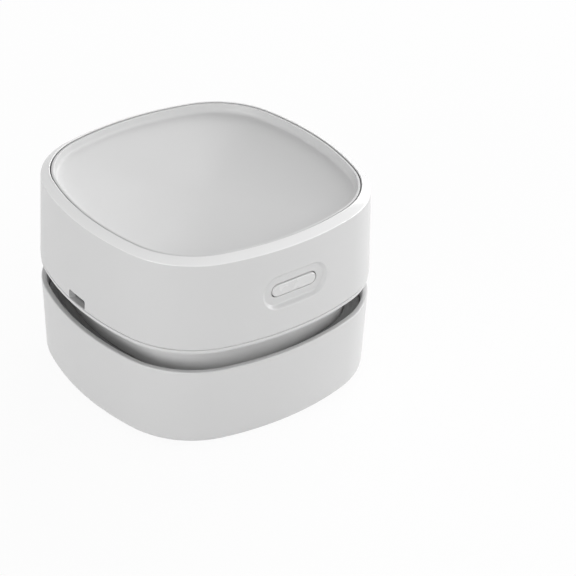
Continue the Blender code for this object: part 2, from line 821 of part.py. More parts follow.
def deck_fittings():
    """Collar, saddles, cell stops and posts that stand on the deck."""
    root = deck_top - DECK_THICKNESS / 2
    collar = turned("collar", [
        (collar_inner, root), (collar_outer, root),
        (collar_outer, deck_top + COLLAR_HEIGHT), (collar_inner, deck_top + COLLAR_HEIGHT),
    ], closed=True)
    fittings = [collar, saddle(-SADDLE_SPREAD / 2), saddle(SADDLE_SPREAD / 2)]
    for low, high in cell_stop_spans():
        start = (low, cell_place - CELL_STOP_WIDTH / 2, root)
        end = (high, cell_place + CELL_STOP_WIDTH / 2, deck_top + CELL_STOP_HEIGHT)
        fittings.append(block("stop", start, end))
    for x, y in charge_screw_places():
        post = disc("post", POST_DIAMETER / 2, root, charge_board_low - CLEARANCE)
        fittings.append(moved(post, shift(x, y)))
    half_post = POST_DIAMETER / 2
    for x in switch_screw_places():
        start = (x - half_post, switch_post_face, root)
        end = (x + half_post, switch_post_face + POST_DEPTH, switch_screw_height + half_post)
        fittings.append(block("post", start, end))
    return fittings


def cell_stop_spans():
    """Spans along X of the two walls that hold the cell and its tabs."""
    low = -cell_half - tab_space
    high = cell_half + CELL_NUB_HEIGHT + tab_space
    return (low - CELL_STOP_THICKNESS, low), (high, high + CELL_STOP_THICKNESS)


def fan_housing(parent):
    """Neck with air slots, seal flange and deck, moulded in one piece."""
    flange_inset = CUP_WALL + cup_lean(flange_bottom) + FLANGE_PLAY
    nose_hole = MOTOR_NOSE_DIAMETER / 2 + CLEARANCE
    rings = [
        body_ring(deck_inset, housing_bottom, HIDDEN_STEPS),
        body_ring(deck_inset, deck_top, HIDDEN_STEPS),
        round_ring(nose_hole, deck_top, HIDDEN_STEPS),
        round_ring(nose_hole, housing_bottom, HIDDEN_STEPS),
        body_ring(neck_inner_inset, housing_bottom, HIDDEN_STEPS),
        body_ring(neck_inner_inset, flange_bottom, HIDDEN_STEPS),
        body_ring(flange_inset, flange_bottom, HIDDEN_STEPS),
        body_ring(flange_inset, flange_top, HIDDEN_STEPS),
        body_ring(NECK_INSET, flange_top, HIDDEN_STEPS),
        body_ring(NECK_INSET, housing_bottom, HIDDEN_STEPS),
    ]
    neck = loft("fan_housing", rings, closed=True)
    bosses = []
    for place in quarter_places(cover_screw_place):
        boss = disc("boss", boss_radius, flange_bottom, flange_bottom + COVER_BOSS_HEIGHT)
        bosses.append(moved(boss, shift(*place)))
    fused(neck, bosses)
    fused(neck, deck_fittings())
    tools = slot_cutters()
    cover_tip = flange_bottom - CLEARANCE - COVER_THICKNESS + CASE_SCREW_LENGTH
    tools += screw_holes(quarter_places(cover_screw_place), flange_bottom - OVERRUN, cover_tip + CLEARANCE)
    tools += screw_holes(deck_screw_places(), housing_bottom - OVERRUN, deck_top + OVERRUN)
    tools += screw_holes(motor_screw_places(), housing_bottom - OVERRUN, deck_top + OVERRUN)
    board_tip = charge_board_low + BOARD_THICKNESS + CLEARANCE - BOARD_SCREW_LENGTH
    tools += screw_holes(charge_screw_places(), board_tip - CLEARANCE, charge_board_low + OVERRUN)
    switch_tip = switch_post_face - 2 * CLEARANCE - BOARD_THICKNESS + BOARD_SCREW_LENGTH
    for x in switch_screw_places():
        hole = disc("hole", screw_hole, -OVERRUN, switch_tip + CLEARANCE - switch_post_face)
        moved(hole, shift(x, switch_post_face, switch_screw_height) @ turn(-90, "X"))
        tools.append(hole)
    cut(neck, tools)
    return finished(neck, GREY_PLASTIC, SATIN, PLAIN, (0, 0, flange_bottom), parent)


def deck_screw_places():
    """Screws that hold the deck to the upper housing."""
    return mirrored_places(deck_screw_x, deck_screw_y)


def motor_screw_places():
    """Two screws that hold the motor to the deck."""
    return [(-MOTOR_SCREW_SPREAD / 2, 0), (MOTOR_SCREW_SPREAD / 2, 0)]


def charge_screw_places():
    """Two screws on the inner edge of the charging board."""
    x = charge_board_edge + CHARGE_BOARD_LENGTH - BOARD_SCREW_EDGE
    y = CHARGE_BOARD_WIDTH / 2 - BOARD_SCREW_EDGE
    return [(x, -y), (x, y)]


def switch_screw_places():
    """Places along X of the two screws of the switch board."""
    x = SWITCH_BOARD_WIDTH / 2 - BOARD_SCREW_EDGE
    return [-x, x]


def neck_seal(parent):
    """Soft ring on the flange that closes the gap to the cup wall."""
    inner = NECK_INSET - CLEARANCE
    outer = CUP_WALL + cup_lean(seal_bottom) + CLEARANCE
    top = seal_bottom + SEAL_THICKNESS
    rings = [
        body_ring(inner, seal_bottom, HIDDEN_STEPS),
        body_ring(inner, top, HIDDEN_STEPS),
        body_ring((inner + outer) / 2, top - SEAL_DISH, HIDDEN_STEPS),
        body_ring(outer, top, HIDDEN_STEPS),
        body_ring(outer, seal_bottom + SEAL_DISH, HIDDEN_STEPS),
        body_ring(outer + SEAL_DISH, seal_bottom, HIDDEN_STEPS),
    ]
    ring = loft("neck_seal", rings, closed=True)
    return finished(ring, DARK_RUBBER, DULL, PLAIN, (0, 0, seal_bottom), parent)


def blade(index):
    """One backward-swept blade of even thickness."""
    start = BLADE_ROOT_DIAMETER / 2
    reach = fan_radius - BLADE_RIM_MARGIN - start
    middle = []
    for step in range(BLADE_STEPS + 1):
        share = step / BLADE_STEPS
        angle = 2 * math.pi * index / BLADES - math.radians(BLADE_SWEEP) * share
        radius = start + reach * share
        middle.append(Vector((radius * math.cos(angle), radius * math.sin(angle))))
    sides = ([], [])
    for step, point in enumerate(middle):
        before = middle[max(step - 1, 0)]
        after = middle[min(step + 1, BLADE_STEPS)]
        across = (after - before).orthogonal().normalized() * BLADE_THICKNESS / 2
        sides[0].append(point + across)
        sides[1].insert(0, point - across)
    return prism("blade", sides[0] + sides[1], blade_bottom, fan_top - FAN_PLATE / 2)


def impeller(parent):
    """Fan wheel: a hub and a top plate with curved blades under it."""
    hub = FAN_HUB_DIAMETER / 2
    bore = shaft_radius + CLEARANCE
    plate_low = fan_top - FAN_PLATE
    wheel = turned("impeller", [
        (0, blade_bottom), (hub - FAN_NOSE, blade_bottom), (hub, blade_bottom + FAN_NOSE),
        (hub, plate_low), (fan_radius, plate_low), (fan_radius, fan_top), (bore, fan_top),
        (bore, shaft_low - CLEARANCE), (0, shaft_low - CLEARANCE),
    ])
    fused(wheel, [blade(index) for index in range(BLADES)])
    return finished(wheel, BLACK_PLASTIC, SATIN, PLAIN, (0, 0, fan_top), parent)


def motor_shaft(parent):
    """Steel shaft from the fan hub into the motor."""
    shaft = disc("motor_shaft", shaft_radius, shaft_low, shaft_top)
    return finished(shaft, BRIGHT_STEEL, SMOOTH, METAL, (0, 0, shaft_low), parent)


def motor(parent):
    """Motor can with its nose, bearing, end cap and two terminal lugs."""
    nose = MOTOR_NOSE_DIAMETER / 2
    nose_low = housing_bottom + CLEARANCE
    bearing_hole = shaft_radius + 2 * CLEARANCE + BEARING_WALL
    bearing_top = nose_low + BEARING_LENGTH
    bore = shaft_radius + CLEARANCE
    seat = motor_top - END_CAP_RECESS
    seat_radius = motor_radius - MOTOR_EDGE
    can = turned("motor_can", [
        (bearing_hole, nose_low), (nose, nose_low), (nose, motor_bottom),
        (motor_radius - MOTOR_EDGE, motor_bottom), (motor_radius, motor_bottom + MOTOR_EDGE),
        (motor_radius, motor_top), (seat_radius, motor_top), (seat_radius, seat), (bore, seat),
        (bore, bearing_top + CLEARANCE), (bearing_hole, bearing_top + CLEARANCE),
    ], closed=True)
    motor_tip = housing_bottom - CLEARANCE + BOARD_SCREW_LENGTH
    cut(can, screw_holes(motor_screw_places(), motor_bottom - OVERRUN, motor_tip + CLEARANCE))
    finished(can, BRIGHT_STEEL, SMOOTH, METAL, (0, 0, motor_bottom), parent)

    bearing = turned("motor_bearing", [
        (bore, nose_low), (bearing_hole - CLEARANCE, nose_low),
        (bearing_hole - CLEARANCE, bearing_top), (bore, bearing_top),
    ], SMALL_STEPS, closed=True)
    finished(bearing, BRONZE, SMOOTH, METAL, (0, 0, nose_low), parent)

    cap_low = seat + CLEARANCE
    cap_top = cap_low + END_CAP_HEIGHT
    cap = disc("motor_end_cap", seat_radius - CLEARANCE, cap_low, cap_top, ROUND_STEPS)
    finished(cap, BLACK_PLASTIC, SATIN, PLAIN, (0, 0, cap_low), parent)

    low = cap_top + CLEARANCE
    for name, side in (("left", -1), ("right", 1)):
        middle = side * TERMINAL_SPREAD / 2
        start = (middle - TERMINAL_WIDTH / 2, -TERMINAL_THICKNESS / 2, low)
        end = (middle + TERMINAL_WIDTH / 2, TERMINAL_THICKNESS / 2, low + TERMINAL_HEIGHT)
        lug = block("motor_terminal_" + name, start, end)
        finished(lug, BRASS, SMOOTH, METAL, (middle, 0, low), parent)


def battery(parent):
    """Round cell on its saddles with a welded tab at each end."""
    half = cell_half
    nub = cell_radius * CELL_NUB_SHARE
    groove = half - CELL_GROOVE_PLACE
    profile = [
        (0, -half), (cell_radius - CELL_EDGE, -half), (cell_radius, CELL_EDGE - half),
        (cell_radius, groove - CELL_GROOVE), (cell_radius - CELL_GROOVE, groove),
        (cell_radius, groove + CELL_GROOVE), (cell_radius, half - CELL_EDGE),
        (cell_radius - CELL_EDGE, half), (nub, half), (nub, half + CELL_NUB_HEIGHT),
        (0, half + CELL_NUB_HEIGHT),
    ]
    cell = turned("battery_cell", profile)
    moved(cell, shift(0, cell_place, cell_height) @ turn(90, "Y"))
    finished(cell, CELL_WRAP, SATIN, PLAIN, (0, cell_place, cell_height), parent)
    ends = {
        "battery_tab_negative": -half - CLEARANCE - TAB_THICKNESS,
        "battery_tab_positive": half + CELL_NUB_HEIGHT + CLEARANCE,
    }
    for name, x in ends.items():
        start = (x, cell_place - TAB_WIDTH / 2, cell_height - TAB_WIDTH / 2)
        end = (x + TAB_THICKNESS, cell_place + TAB_WIDTH / 2, cell_height - TAB_WIDTH / 2 + TAB_HEIGHT)
        tab = block(name, start, end)
        finished(tab, BRIGHT_STEEL, SMOOTH, METAL, (x, cell_place, cell_height), parent)


def charging_board(parent):
    """Level board that hangs the charging socket over the deck."""
    top = charge_board_low + BOARD_THICKNESS
    start = (charge_board_edge, -CHARGE_BOARD_WIDTH / 2, charge_board_low)
    end = (charge_board_edge + CHARGE_BOARD_LENGTH, CHARGE_BOARD_WIDTH / 2, top)
    board = block("charge_board", start, end)
    cut(board, screw_holes(charge_screw_places(), charge_board_low - OVERRUN, top + OVERRUN))
    finished(board, BOARD_GREEN, SATIN, PLAIN, start, parent)

    shell = prism("usb_socket", port_outline(0), 0, PORT_DEPTH)
    hollow = prism("hollow", port_outline(PORT_WALL), -OVERRUN, PORT_DEPTH - 2 * PORT_WALL)
    cut(shell, [hollow])
    moved(shell, port_frame())
    finished(shell, BRIGHT_STEEL, SMOOTH, METAL, (port_mouth, 0, port_height), parent)

    tongue_low = -PORT_HEIGHT / 2 + PORT_WALL + PORT_TONGUE_THICKNESS
    tongue = block(
        "usb_tongue",
        (-PORT_TONGUE_WIDTH / 2, tongue_low, PORT_WALL * 2),
        (PORT_TONGUE_WIDTH / 2, tongue_low + PORT_TONGUE_THICKNESS, PORT_DEPTH - 2 * PORT_WALL - CLEARANCE),
    )
    moved(tongue, port_frame())
    finished(tongue, BLACK_PLASTIC, SATIN, PLAIN, (port_mouth, 0, port_height), parent)


def port_outline(inset):
    """Socket outline with its two lower corners cut off."""
    half = PORT_WIDTH / 2 - inset
    rise = PORT_HEIGHT / 2 - inset
    taper = PORT_TAPER - inset / 2
    return [
        (-half, rise), (half, rise), (half, taper - rise),
        (half - taper, -rise), (taper - half, -rise), (-half, taper - rise),
    ]


def port_frame():
    """Matrix that turns the socket's depth to +X and its height to +Z."""
    return shift(port_mouth, 0, port_height) @ turn(90, "Z") @ turn(90, "X")


def switch(parent):
    """Switch board with its push switch, behind the power button."""
    half = SWITCH_BOARD_WIDTH / 2
    low = switch_screw_height - BOARD_SCREW_EDGE
    start = (-half, switch_board_front, low)
    end = (half, switch_board_back, low + SWITCH_BOARD_HEIGHT)
    board = block("switch_board", start, end)
    holes = []
    for x in switch_screw_places():
        hole = disc("hole", screw_hole, -OVERRUN, BOARD_THICKNESS + OVERRUN)
        holes.append(moved(hole, front_frame(x, switch_board_front, switch_screw_height)))
    cut(board, holes)
    finished(board, BOARD_GREEN, SATIN, PLAIN, start, parent)

    edge = SWITCH_WIDTH / 2
    body = block(
        "switch_body",
        (-edge, switch_front, button_height - edge),
        (edge, switch_back, button_height + edge),
    )
    bore_depth = PLUNGER_SEAT + BUTTON_TRAVEL + CLEARANCE
    bore = disc("bore", PLUNGER_DIAMETER / 2 + CLEARANCE, -OVERRUN, bore_depth)
    cut(body, [moved(bore, front_frame(0, switch_front, button_height))])
    finished(body, BLACK_PLASTIC, SATIN, PLAIN, (0, switch_back, button_height), parent)


def front_frame(x, y, z):
    """Matrix that stands a shape on the front side with its height along +Y."""
    return shift(x, y, z) @ turn(-90, "X")


def power_button(parent):
    """Button cap with a flange behind the wall, and the plunger that it presses."""
    length = BUTTON_LENGTH
    width = BUTTON_WIDTH
    front = recess_floor - BUTTON_PROUD
    flange_length = length + 2 * (BUTTON_FLANGE + CLEARANCE)
    flange_width = width + 2 * (BUTTON_FLANGE + CLEARANCE)
    levels = (
        (length - 2 * BUTTON_ROUND, width - 2 * BUTTON_ROUND, front),
        (length, width, front + BUTTON_ROUND),
        (length, width, flange_front),
        (flange_length, flange_width, flange_front),
        (flange_length, flange_width, flange_back),
    )
    rings = []
    for ring_length, ring_width, depth in levels:
        rings.append([Vector((x, z, depth)) for x, z in pill(ring_length, ring_width)])
    cap = loft("power_button", rings)
    moved(cap, front_frame(0, 0, button_height))
    finished(cap, WHITE_PLASTIC, SMOOTH, PLAIN, (0, flange_front, button_height), parent)

    plunger = disc("switch_plunger", PLUNGER_DIAMETER / 2, plunger_front, plunger_back)
    moved(plunger, front_frame(0, 0, button_height))
    finished(plunger, DARK_RUBBER, SATIN, PLAIN, (0, plunger_front, button_height), parent)


def recess_cutter():
    """Cutter for the button's recess, whose sides slope in to its floor."""
    slope = RECESS_SLOPE / RECESS_DEPTH
    growth = slope * (RECESS_DEPTH + OVERRUN)
    floor_length = RECESS_LENGTH - 2 * RECESS_SLOPE
    floor_width = RECESS_WIDTH - 2 * RECESS_SLOPE
    rings = []
    for grown, depth in ((2 * growth, button_face - OVERRUN), (0, recess_floor)):
        points = pill(floor_length + grown, floor_width + grown)
        rings.append([Vector((x, z, depth)) for x, z in points])
    return moved(loft("recess", rings), front_frame(0, 0, button_height))


def housing_boss(place):
    """Screw boss above the deck with a rib that joins it to the side wall."""
    x, y = abs(place[0]), abs(place[1])
    wall = face_reach(HOUSING_WALL * ROOT_SHARE, y)
    half = RIB_THICKNESS / 2
    spread = math.asin(half / boss_radius)
    points = [(wall, -half), (wall, half)]
    for step in range(SMALL_STEPS + 1):
        angle = spread + (2 * math.pi - 2 * spread) * step / SMALL_STEPS
        points.append((x + boss_radius * math.cos(angle), boss_radius * math.sin(angle)))
    low = deck_top + CLEARANCE
    boss = prism("boss", points, low, low + HOUSING_BOSS_HEIGHT)
    side = 0 if place[0] > 0 else 180
    return moved(boss, shift(0, place[1]) @ turn(side, "Z"))


def upper_housing(parent):
    """Side wall of the upper body, up to its rim and the ledge for the top cover."""
    belt = housing_bottom + EDGE_BEVEL_HEIGHT
    inner_top = dish_ledge_top - COVER_LEDGE_THICKNESS
    inner_inset = dish_inset - CLEARANCE
    ledge = inner_inset + COVER_LEDGE_WIDTH
    root = inner_top - (ledge - HOUSING_WALL - lean(inner_top))
    profile = [
        (EDGE_BEVEL_DEPTH + EDGE_ROUND, housing_bottom),
        (EDGE_BEVEL_DEPTH, housing_bottom + EDGE_ROUND),
        (0, belt),
        (0, belt + BELT_HEIGHT),
        (lean(rim_edge - RIM_ROUND), rim_edge - RIM_ROUND),
        (HOUSING_TAPER + RIM_ROUND, rim_edge + RIM_ROUND),
        (rim_inset - RIM_ROUND, rim_top - RIM_ROUND / 2),
        (rim_inset, rim_top),
        (inner_inset, rim_top - RIM_ROUND),
        (inner_inset, dish_ledge_top),
        (ledge, dish_ledge_top),
        (ledge, inner_top),
        (HOUSING_WALL + lean(root), root),
        (HOUSING_WALL, belt + BELT_HEIGHT),
        (HOUSING_WALL, housing_bottom),
    ]
    shell = loft("upper_housing", [body_ring(*point) for point in profile], closed=True)
    pad_outline = pill(RECESS_LENGTH + PAD_MARGIN, RECESS_WIDTH + PAD_MARGIN)
    pad = prism("pad", pad_outline, 0, pad_back - recess_floor)
    moved(pad, front_frame(0, recess_floor, button_height))
    fused(shell, [pad])
    fused(shell, [housing_boss(place) for place in deck_screw_places()])
    slot_outline = pill(BUTTON_LENGTH + 2 * CLEARANCE, BUTTON_WIDTH + 2 * CLEARANCE)
    slot = prism("slot", slot_outline, -OVERRUN, OVERRUN)
    window_length = PORT_WIDTH + 2 * PORT_WINDOW_MARGIN
    window_width = PORT_HEIGHT + 2 * PORT_WINDOW_MARGIN
    window_outline = rounded_box(window_length, window_width, PORT_WINDOW_ROUND)
    window = prism("window", window_outline, -HOUSING_WALL - OVERRUN, CLEARANCE)
    cut(shell, [recess_cutter()])
    tip = housing_bottom - CLEARANCE + CASE_SCREW_LENGTH
    tools = screw_holes(deck_screw_places(), deck_top - OVERRUN, tip + CLEARANCE)
    tools.append(moved(slot, front_frame(0, recess_floor, button_height)))
    tools.append(moved(window, port_frame()))
    cut(shell, tools)
    return finished(shell, WHITE_PLASTIC, SATIN, PLAIN, (0, 0, housing_bottom), parent)


def top_cover(parent):
    """Dished cover with a thin upright edge, seated inside the rim."""
    lip_top = rim_top - DISH_STEP
    wall_foot = dish_inset + DISH_WALL + DISH_WALL_SLOPE
    low = dish_foot - DISH_THICKNESS
    dish = wall_foot + DISH_FOOT_RADIUS
    rings = [[Vector((0, 0, low - DISH_DEPTH))]]
    for share in DISH_RING_SHARES:
        height = low - DISH_DEPTH * (1 - share ** 2)
        rings.append(body_ring(dish, height, share=share))
    rings += [
        body_ring(dish, low),
        body_ring(dish_inset, low),
        body_ring(dish_inset, lip_top - RIM_ROUND),
        body_ring(dish_inset + RIM_ROUND, lip_top),
        body_ring(dish_inset + DISH_WALL - RIM_ROUND, lip_top),
        body_ring(dish_inset + DISH_WALL, lip_top - RIM_ROUND),
    ]
    foot = heel_arc(wall_foot, dish_foot, DISH_FOOT_RADIUS)
    for inset, height in reversed(foot):
        rings.append(body_ring(inset, height))
    for share in reversed(DISH_RING_SHARES):
        height = dish_foot - DISH_DEPTH * (1 - share ** 2)
        rings.append(body_ring(dish, height, share=share))
    rings.append([Vector((0, 0, dish_foot - DISH_DEPTH))])
    cover = loft("top_cover", rings)
    return finished(cover, GREY_PLASTIC, SATIN, PLAIN, (0, 0, low), parent)


def screw(name, length, matrix):
    """A pan-head screw, its tip up, with a round drive hole in the head."""
    drive = DRIVE_DIAMETER / 2
    head = SCREW_HEAD_DIAMETER / 2
    low = -SCREW_HEAD_HEIGHT
    made = turned(name, [
        (0, low + DRIVE_DEPTH), (drive, low + DRIVE_DEPTH), (drive, low),
        (head - DRIVE_DEPTH, low), (head, 0), (screw_radius, 0),
        (screw_radius, length - SCREW_TIP), (0, length),
    ], SCREW_STEPS)
    return moved(made, matrix)


def screws(parent):
    """All screws of the upper body, by what they hold."""
    under_cover = cover_bottom - CLEARANCE
    under_deck = housing_bottom - CLEARANCE
    over_board = charge_board_low + BOARD_THICKNESS + CLEARANCE
    before_board = switch_board_front - CLEARANCE
    long = CASE_SCREW_LENGTH
    short = BOARD_SCREW_LENGTH
    upright = [
        ("cover_screw", long, 0, quarter_places(cover_screw_place), under_cover),
        ("deck_screw", long, 0, deck_screw_places(), under_deck),
        ("motor_screw", short, 0, motor_screw_places(), under_deck),
        ("charge_board_screw", short, 180, charge_screw_places(), over_board),
    ]
    groups = []
    for name, length, tilt, places, height in upright:
        groups.append((name, length, tilt, [(x, y, height) for x, y in places]))
    places = [(x, before_board, switch_screw_height) for x in switch_screw_places()]
    groups.append(("switch_board_screw", short, -90, places))
    for name, length, tilt, places in groups:
        for number, place in enumerate(places, 1):
            made = screw(f"{name}_{number}", length, shift(*place) @ turn(tilt, "X"))
            finished(made, BRIGHT_STEEL, SMOOTH, METAL, place, parent)


def clear_scene():
    """Remove what the scene holds before the first piece is made."""
    for obj in list(bpy.data.objects):
        bpy.data.objects.remove(obj)


def main():
    """Make every piece under the empty of the body that it moves with."""
    clear_scene()
    cup = holder("cup_group", (0, 0, cup_bottom))
    unit = holder("unit_group", (0, 0, ledge_top))
    fan = holder("fan_axis", (0, 0, fan_top))
    press = holder("button_axis", (0, flange_front, button_height))
    sieve = holder("filter_axis", (0, 0, filter_bottom))
    dust_cup(cup)
    rubber_feet(cup)
    brush_arcs(cup)
    filter_frame(sieve)
    filter_layers(sieve)
    fan_cover(unit)
    fan_housing(unit)
    neck_seal(unit)
    motor(unit)
    battery(unit)
    charging_board(unit)
    switch(unit)
    upper_housing(unit)
    top_cover(unit)
    screws(unit)
    power_button(press)
    impeller(fan)
    motor_shaft(fan)


if __name__ == "__main__":
    main()
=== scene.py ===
"""Looks of the desktop mini vacuum cleaner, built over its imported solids.

Metres, +Z up. The origin is on the table under the middle of the body. The
power button looks along -Y and the charging port along -X.
"""

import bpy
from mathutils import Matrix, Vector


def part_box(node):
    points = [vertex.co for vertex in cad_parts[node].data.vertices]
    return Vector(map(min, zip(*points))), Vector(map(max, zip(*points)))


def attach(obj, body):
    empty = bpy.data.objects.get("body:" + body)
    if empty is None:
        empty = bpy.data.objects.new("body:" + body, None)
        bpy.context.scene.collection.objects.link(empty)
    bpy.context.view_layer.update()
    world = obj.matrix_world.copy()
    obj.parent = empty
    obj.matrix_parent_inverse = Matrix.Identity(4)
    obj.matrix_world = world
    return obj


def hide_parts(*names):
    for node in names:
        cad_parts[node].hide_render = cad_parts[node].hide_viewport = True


bl_info = {
    "name": "Desk vacuum looks",
    "version": (1, 0, 0),
    "blender": (4, 5, 0),
    "location": "3D View > Sidebar > Desk vacuum",
    "description": "Builds the visible pieces, finishes and stage of a desktop mini vacuum cleaner",
    "category": "Object",
}

import math
import random

import bmesh
import bpy
from mathutils import Matrix, Vector

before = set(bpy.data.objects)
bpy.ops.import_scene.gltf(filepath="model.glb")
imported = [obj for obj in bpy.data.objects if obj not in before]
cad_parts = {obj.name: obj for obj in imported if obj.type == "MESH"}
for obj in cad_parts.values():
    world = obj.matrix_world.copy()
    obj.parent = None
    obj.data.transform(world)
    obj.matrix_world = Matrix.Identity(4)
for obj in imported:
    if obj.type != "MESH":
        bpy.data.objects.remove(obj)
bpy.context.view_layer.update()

# Steps round the outline and round small pieces
SIDE_STEPS = 16
CORNER_STEPS = 20
ROUND_STEPS = 96
SMALL_STEPS = 32
FILLET_SEGMENTS = 5
SHARP_ANGLE = math.radians(28)
MERGE_DISTANCE = 0.000001

# Radii of small edges on the hidden and half-hidden pieces
FINE_EDGE = 0.0002
SOFT_EDGE = 0.0003
ROUND_EDGE = 0.0004


# Sizes and colours that a user would change

def length(name, description, default):
    """A length in metres for a property group."""
    return bpy.props.FloatProperty(
        name=name, description=description, default=default, unit="LENGTH", precision=5)


def share(name, description, default):
    """A value from nought to one for a property group."""
    return bpy.props.FloatProperty(
        name=name, description=description, default=default, min=0, max=1, subtype="FACTOR")


def colour(name, description, default):
    """A colour for a property group."""
    return bpy.props.FloatVectorProperty(
        name=name, description=description, default=default, size=3, min=0, max=1, subtype="COLOR")


class BodySizes(bpy.types.PropertyGroup):
    """The square-round outline that every shell follows."""

    width: length("Width", "Width of the body at its widest", 0.085)
    side_radius: length("Side radius", "Radius of the four long side arcs", 0.082)
    corner_radius: length("Corner radius", "Radius of the four corner arcs", 0.026)


class CupSizes(bpy.types.PropertyGroup):
    """Sizes of the dust cup."""

    wall: length("Wall", "Thickness of the cup wall", 0.0016)
    taper: length("Taper", "How far the wall leans in at the bottom", 0.0008)
    heel: length("Heel radius", "Radius of the bottom edge", 0.0022)
    lip_round: length("Lip round", "Radius of the two edges of the lip", 0.0004)
    inner_heel: length("Inner heel", "Radius of the inner bottom edge", 0.0016)
    floor: length("Floor", "Thickness of the cup floor", 0.0018)
    ledge: length("Ledge", "Width of the ledge that carries the upper unit", 0.0023)


class HousingSizes(bpy.types.PropertyGroup):
    """Sizes of the upper housing."""

    wall: length("Wall", "Thickness of the side wall", 0.0018)
    taper: length("Taper", "How far the wall leans in at the rim", 0.0009)
    strip: length("Strip", "Height of the strip at the bottom edge", 0.0013)
    groove: length("Groove", "Depth of the line over the strip", 0.0004)
    rim_width: length("Rim width", "Width of the sloping rim in plan", 0.0024)
    rim_rise: length("Rim rise", "Height of the sloping rim", 0.0016)
    rim_round: length("Rim round", "Radius of the two edges of the rim", 0.00022)


class ButtonSizes(bpy.types.PropertyGroup):
    """Sizes of the power button and its recess."""

    length: length("Length", "Length of the button", 0.0144)
    width: length("Width", "Height of the button's face", 0.0036)
    proud: length("Proud", "How far the button stands out of the recess", 0.0003)
    crown: length("Crown", "Height of the button's crowned face", 0.0001)
    edge: length("Edge", "Radius of the button's front edge", 0.00042)
    recess_length: length("Recess length", "Length of the recess", 0.0216)
    recess_width: length("Recess width", "Height of the recess", 0.0106)
    recess_slope: length("Recess slope", "Width of the recess's sloping side", 0.0012)
    recess_depth: length("Recess depth", "Depth of the recess", 0.0013)


class TopSizes(bpy.types.PropertyGroup):
    """Sizes of the dished top cover."""

    seam: length("Seam", "Gap between the rim and the cover", 0.0003)
    step: length("Step", "How far the cover's edge sits below the rim", 0.0003)
    edge: length("Edge", "Thickness of the cover's upright edge", 0.0008)
    foot: length("Foot radius", "Radius where the upright edge meets the dish", 0.0008)
    depth: length("Depth", "Depth of the dish", 0.0040)
    thickness: length("Thickness", "Thickness of the dish", 0.0014)


class IntakeSizes(bpy.types.PropertyGroup):
    """Sizes of the intake, brush groove and ridge in the cup's floor."""

    bore: length("Bore", "Radius of the intake", 0.0090)
    mouth: length("Mouth", "Radius of the intake at the underside", 0.0100)
    chimney: length("Chimney", "Outer radius of the chimney", 0.0104)
    headroom: length("Headroom", "From the chimney's top to the filter", 0.0022)
    groove_inner: length("Groove inner", "Inner radius of the brush groove", 0.0200)
    groove_outer: length("Groove outer", "Outer radius of the brush groove", 0.0236)
    groove_depth: length("Groove depth", "Depth of the brush groove", 0.0020)
    ridge_inner: length("Ridge inner", "Inner radius of the ridge over the groove", 0.0186)
    ridge_outer: length("Ridge outer", "Outer radius of the ridge over the groove", 0.0250)
    ridge_height: length("Ridge height", "Height of the ridge over the floor", 0.0016)


class NeckSizes(bpy.types.PropertyGroup):
    """Sizes of the neck, its flange, its deck and its air slots."""

    inset: length("Inset", "How far the neck stands inside the outline", 0.00675)
    wall: length("Wall", "Thickness of the neck", 0.0016)
    flange: length("Flange", "Thickness of the flange", 0.0020)
    deck: length("Deck", "Thickness of the deck", 0.0014)
    deck_inset: length("Deck inset", "How far the deck stands inside the outline", 0.0021)
    deck_bore: length("Deck bore", "Radius of the shaft's hole", 0.0034)
    slots: bpy.props.IntProperty(
        name="Slots", description="Air slots on each side", default=7, min=1)
    slot_width: length("Slot width", "Width of an air slot", 0.0034)
    slot_height: length("Slot height", "Height of an air slot", 0.0030)
    slot_pitch: length("Slot pitch", "From one air slot to the next", 0.0056)
    slot_drop: length("Slot drop", "From the deck's underside to the slots", 0.0006)
    slot_round: length("Slot round", "Radius of the slots' corners", 0.0009)


class FanCoverSizes(bpy.types.PropertyGroup):
    """Sizes of the plate under the fan."""

    plate: length("Plate", "Thickness of the plate", 0.0016)
    margin: length("Margin", "Gap between the plate and the cup's ledge", 0.0008)
    throat: length("Throat", "Radius of the inlet throat", 0.0130)
    throat_wall: length("Throat wall", "Thickness of the throat", 0.0012)
    throat_height: length("Throat height", "Height of the throat over the plate", 0.0015)
    socket: length("Socket", "Inner radius of the filter's socket", 0.0273)
    socket_wall: length("Socket wall", "Thickness of the socket", 0.0016)


class FilterSizes(bpy.types.PropertyGroup):
    """Sizes of the filter frame."""

    lip: length("Lip", "How far the finger lip stands out", 0.0033)
    lip_height: length("Lip height", "Height of the finger lip", 0.0015)
    wall: length("Wall", "Thickness of the frame's wall", 0.0022)
    eye: length("Eye", "Outer radius of the middle ring", 0.0045)
    eye_wall: length("Eye wall", "Width of the middle ring", 0.0018)
    ribs: bpy.props.IntProperty(name="Ribs", description="Ribs under the net", default=6, min=3)
    rib_width: length("Rib width", "Width of a rib", 0.0018)
    rib_height: length("Rib height", "Height of a rib", 0.0012)


class FootSizes(bpy.types.PropertyGroup):
    """Sizes of a rubber foot."""

    radius: length("Radius", "Radius of a foot", 0.0035)
    dimple: length("Dimple", "Radius of the hollow in its sole", 0.0012)
    hollow: length("Hollow", "Depth of that hollow", 0.00008)


class ScrewSizes(bpy.types.PropertyGroup):
    """Sizes of the pan-head screws."""

    head: length("Head", "Radius of the head", 0.0019)
    head_height: length("Head height", "Height of the head", 0.0012)
    thread: length("Thread", "Outer radius of the thread", 0.0010)
    core: length("Core", "Radius between the turns", 0.0008)
    pitch: length("Pitch", "From one turn to the next", 0.0007)
    drive_length: length("Drive length", "Length of the cross in the head", 0.0018)
    drive_width: length("Drive width", "Width of the cross's arms", 0.00036)
    long: length("Long screw", "Length of the deck and cover screws", 0.006)
    short: length("Short screw", "Length of the motor and board screws", 0.004)


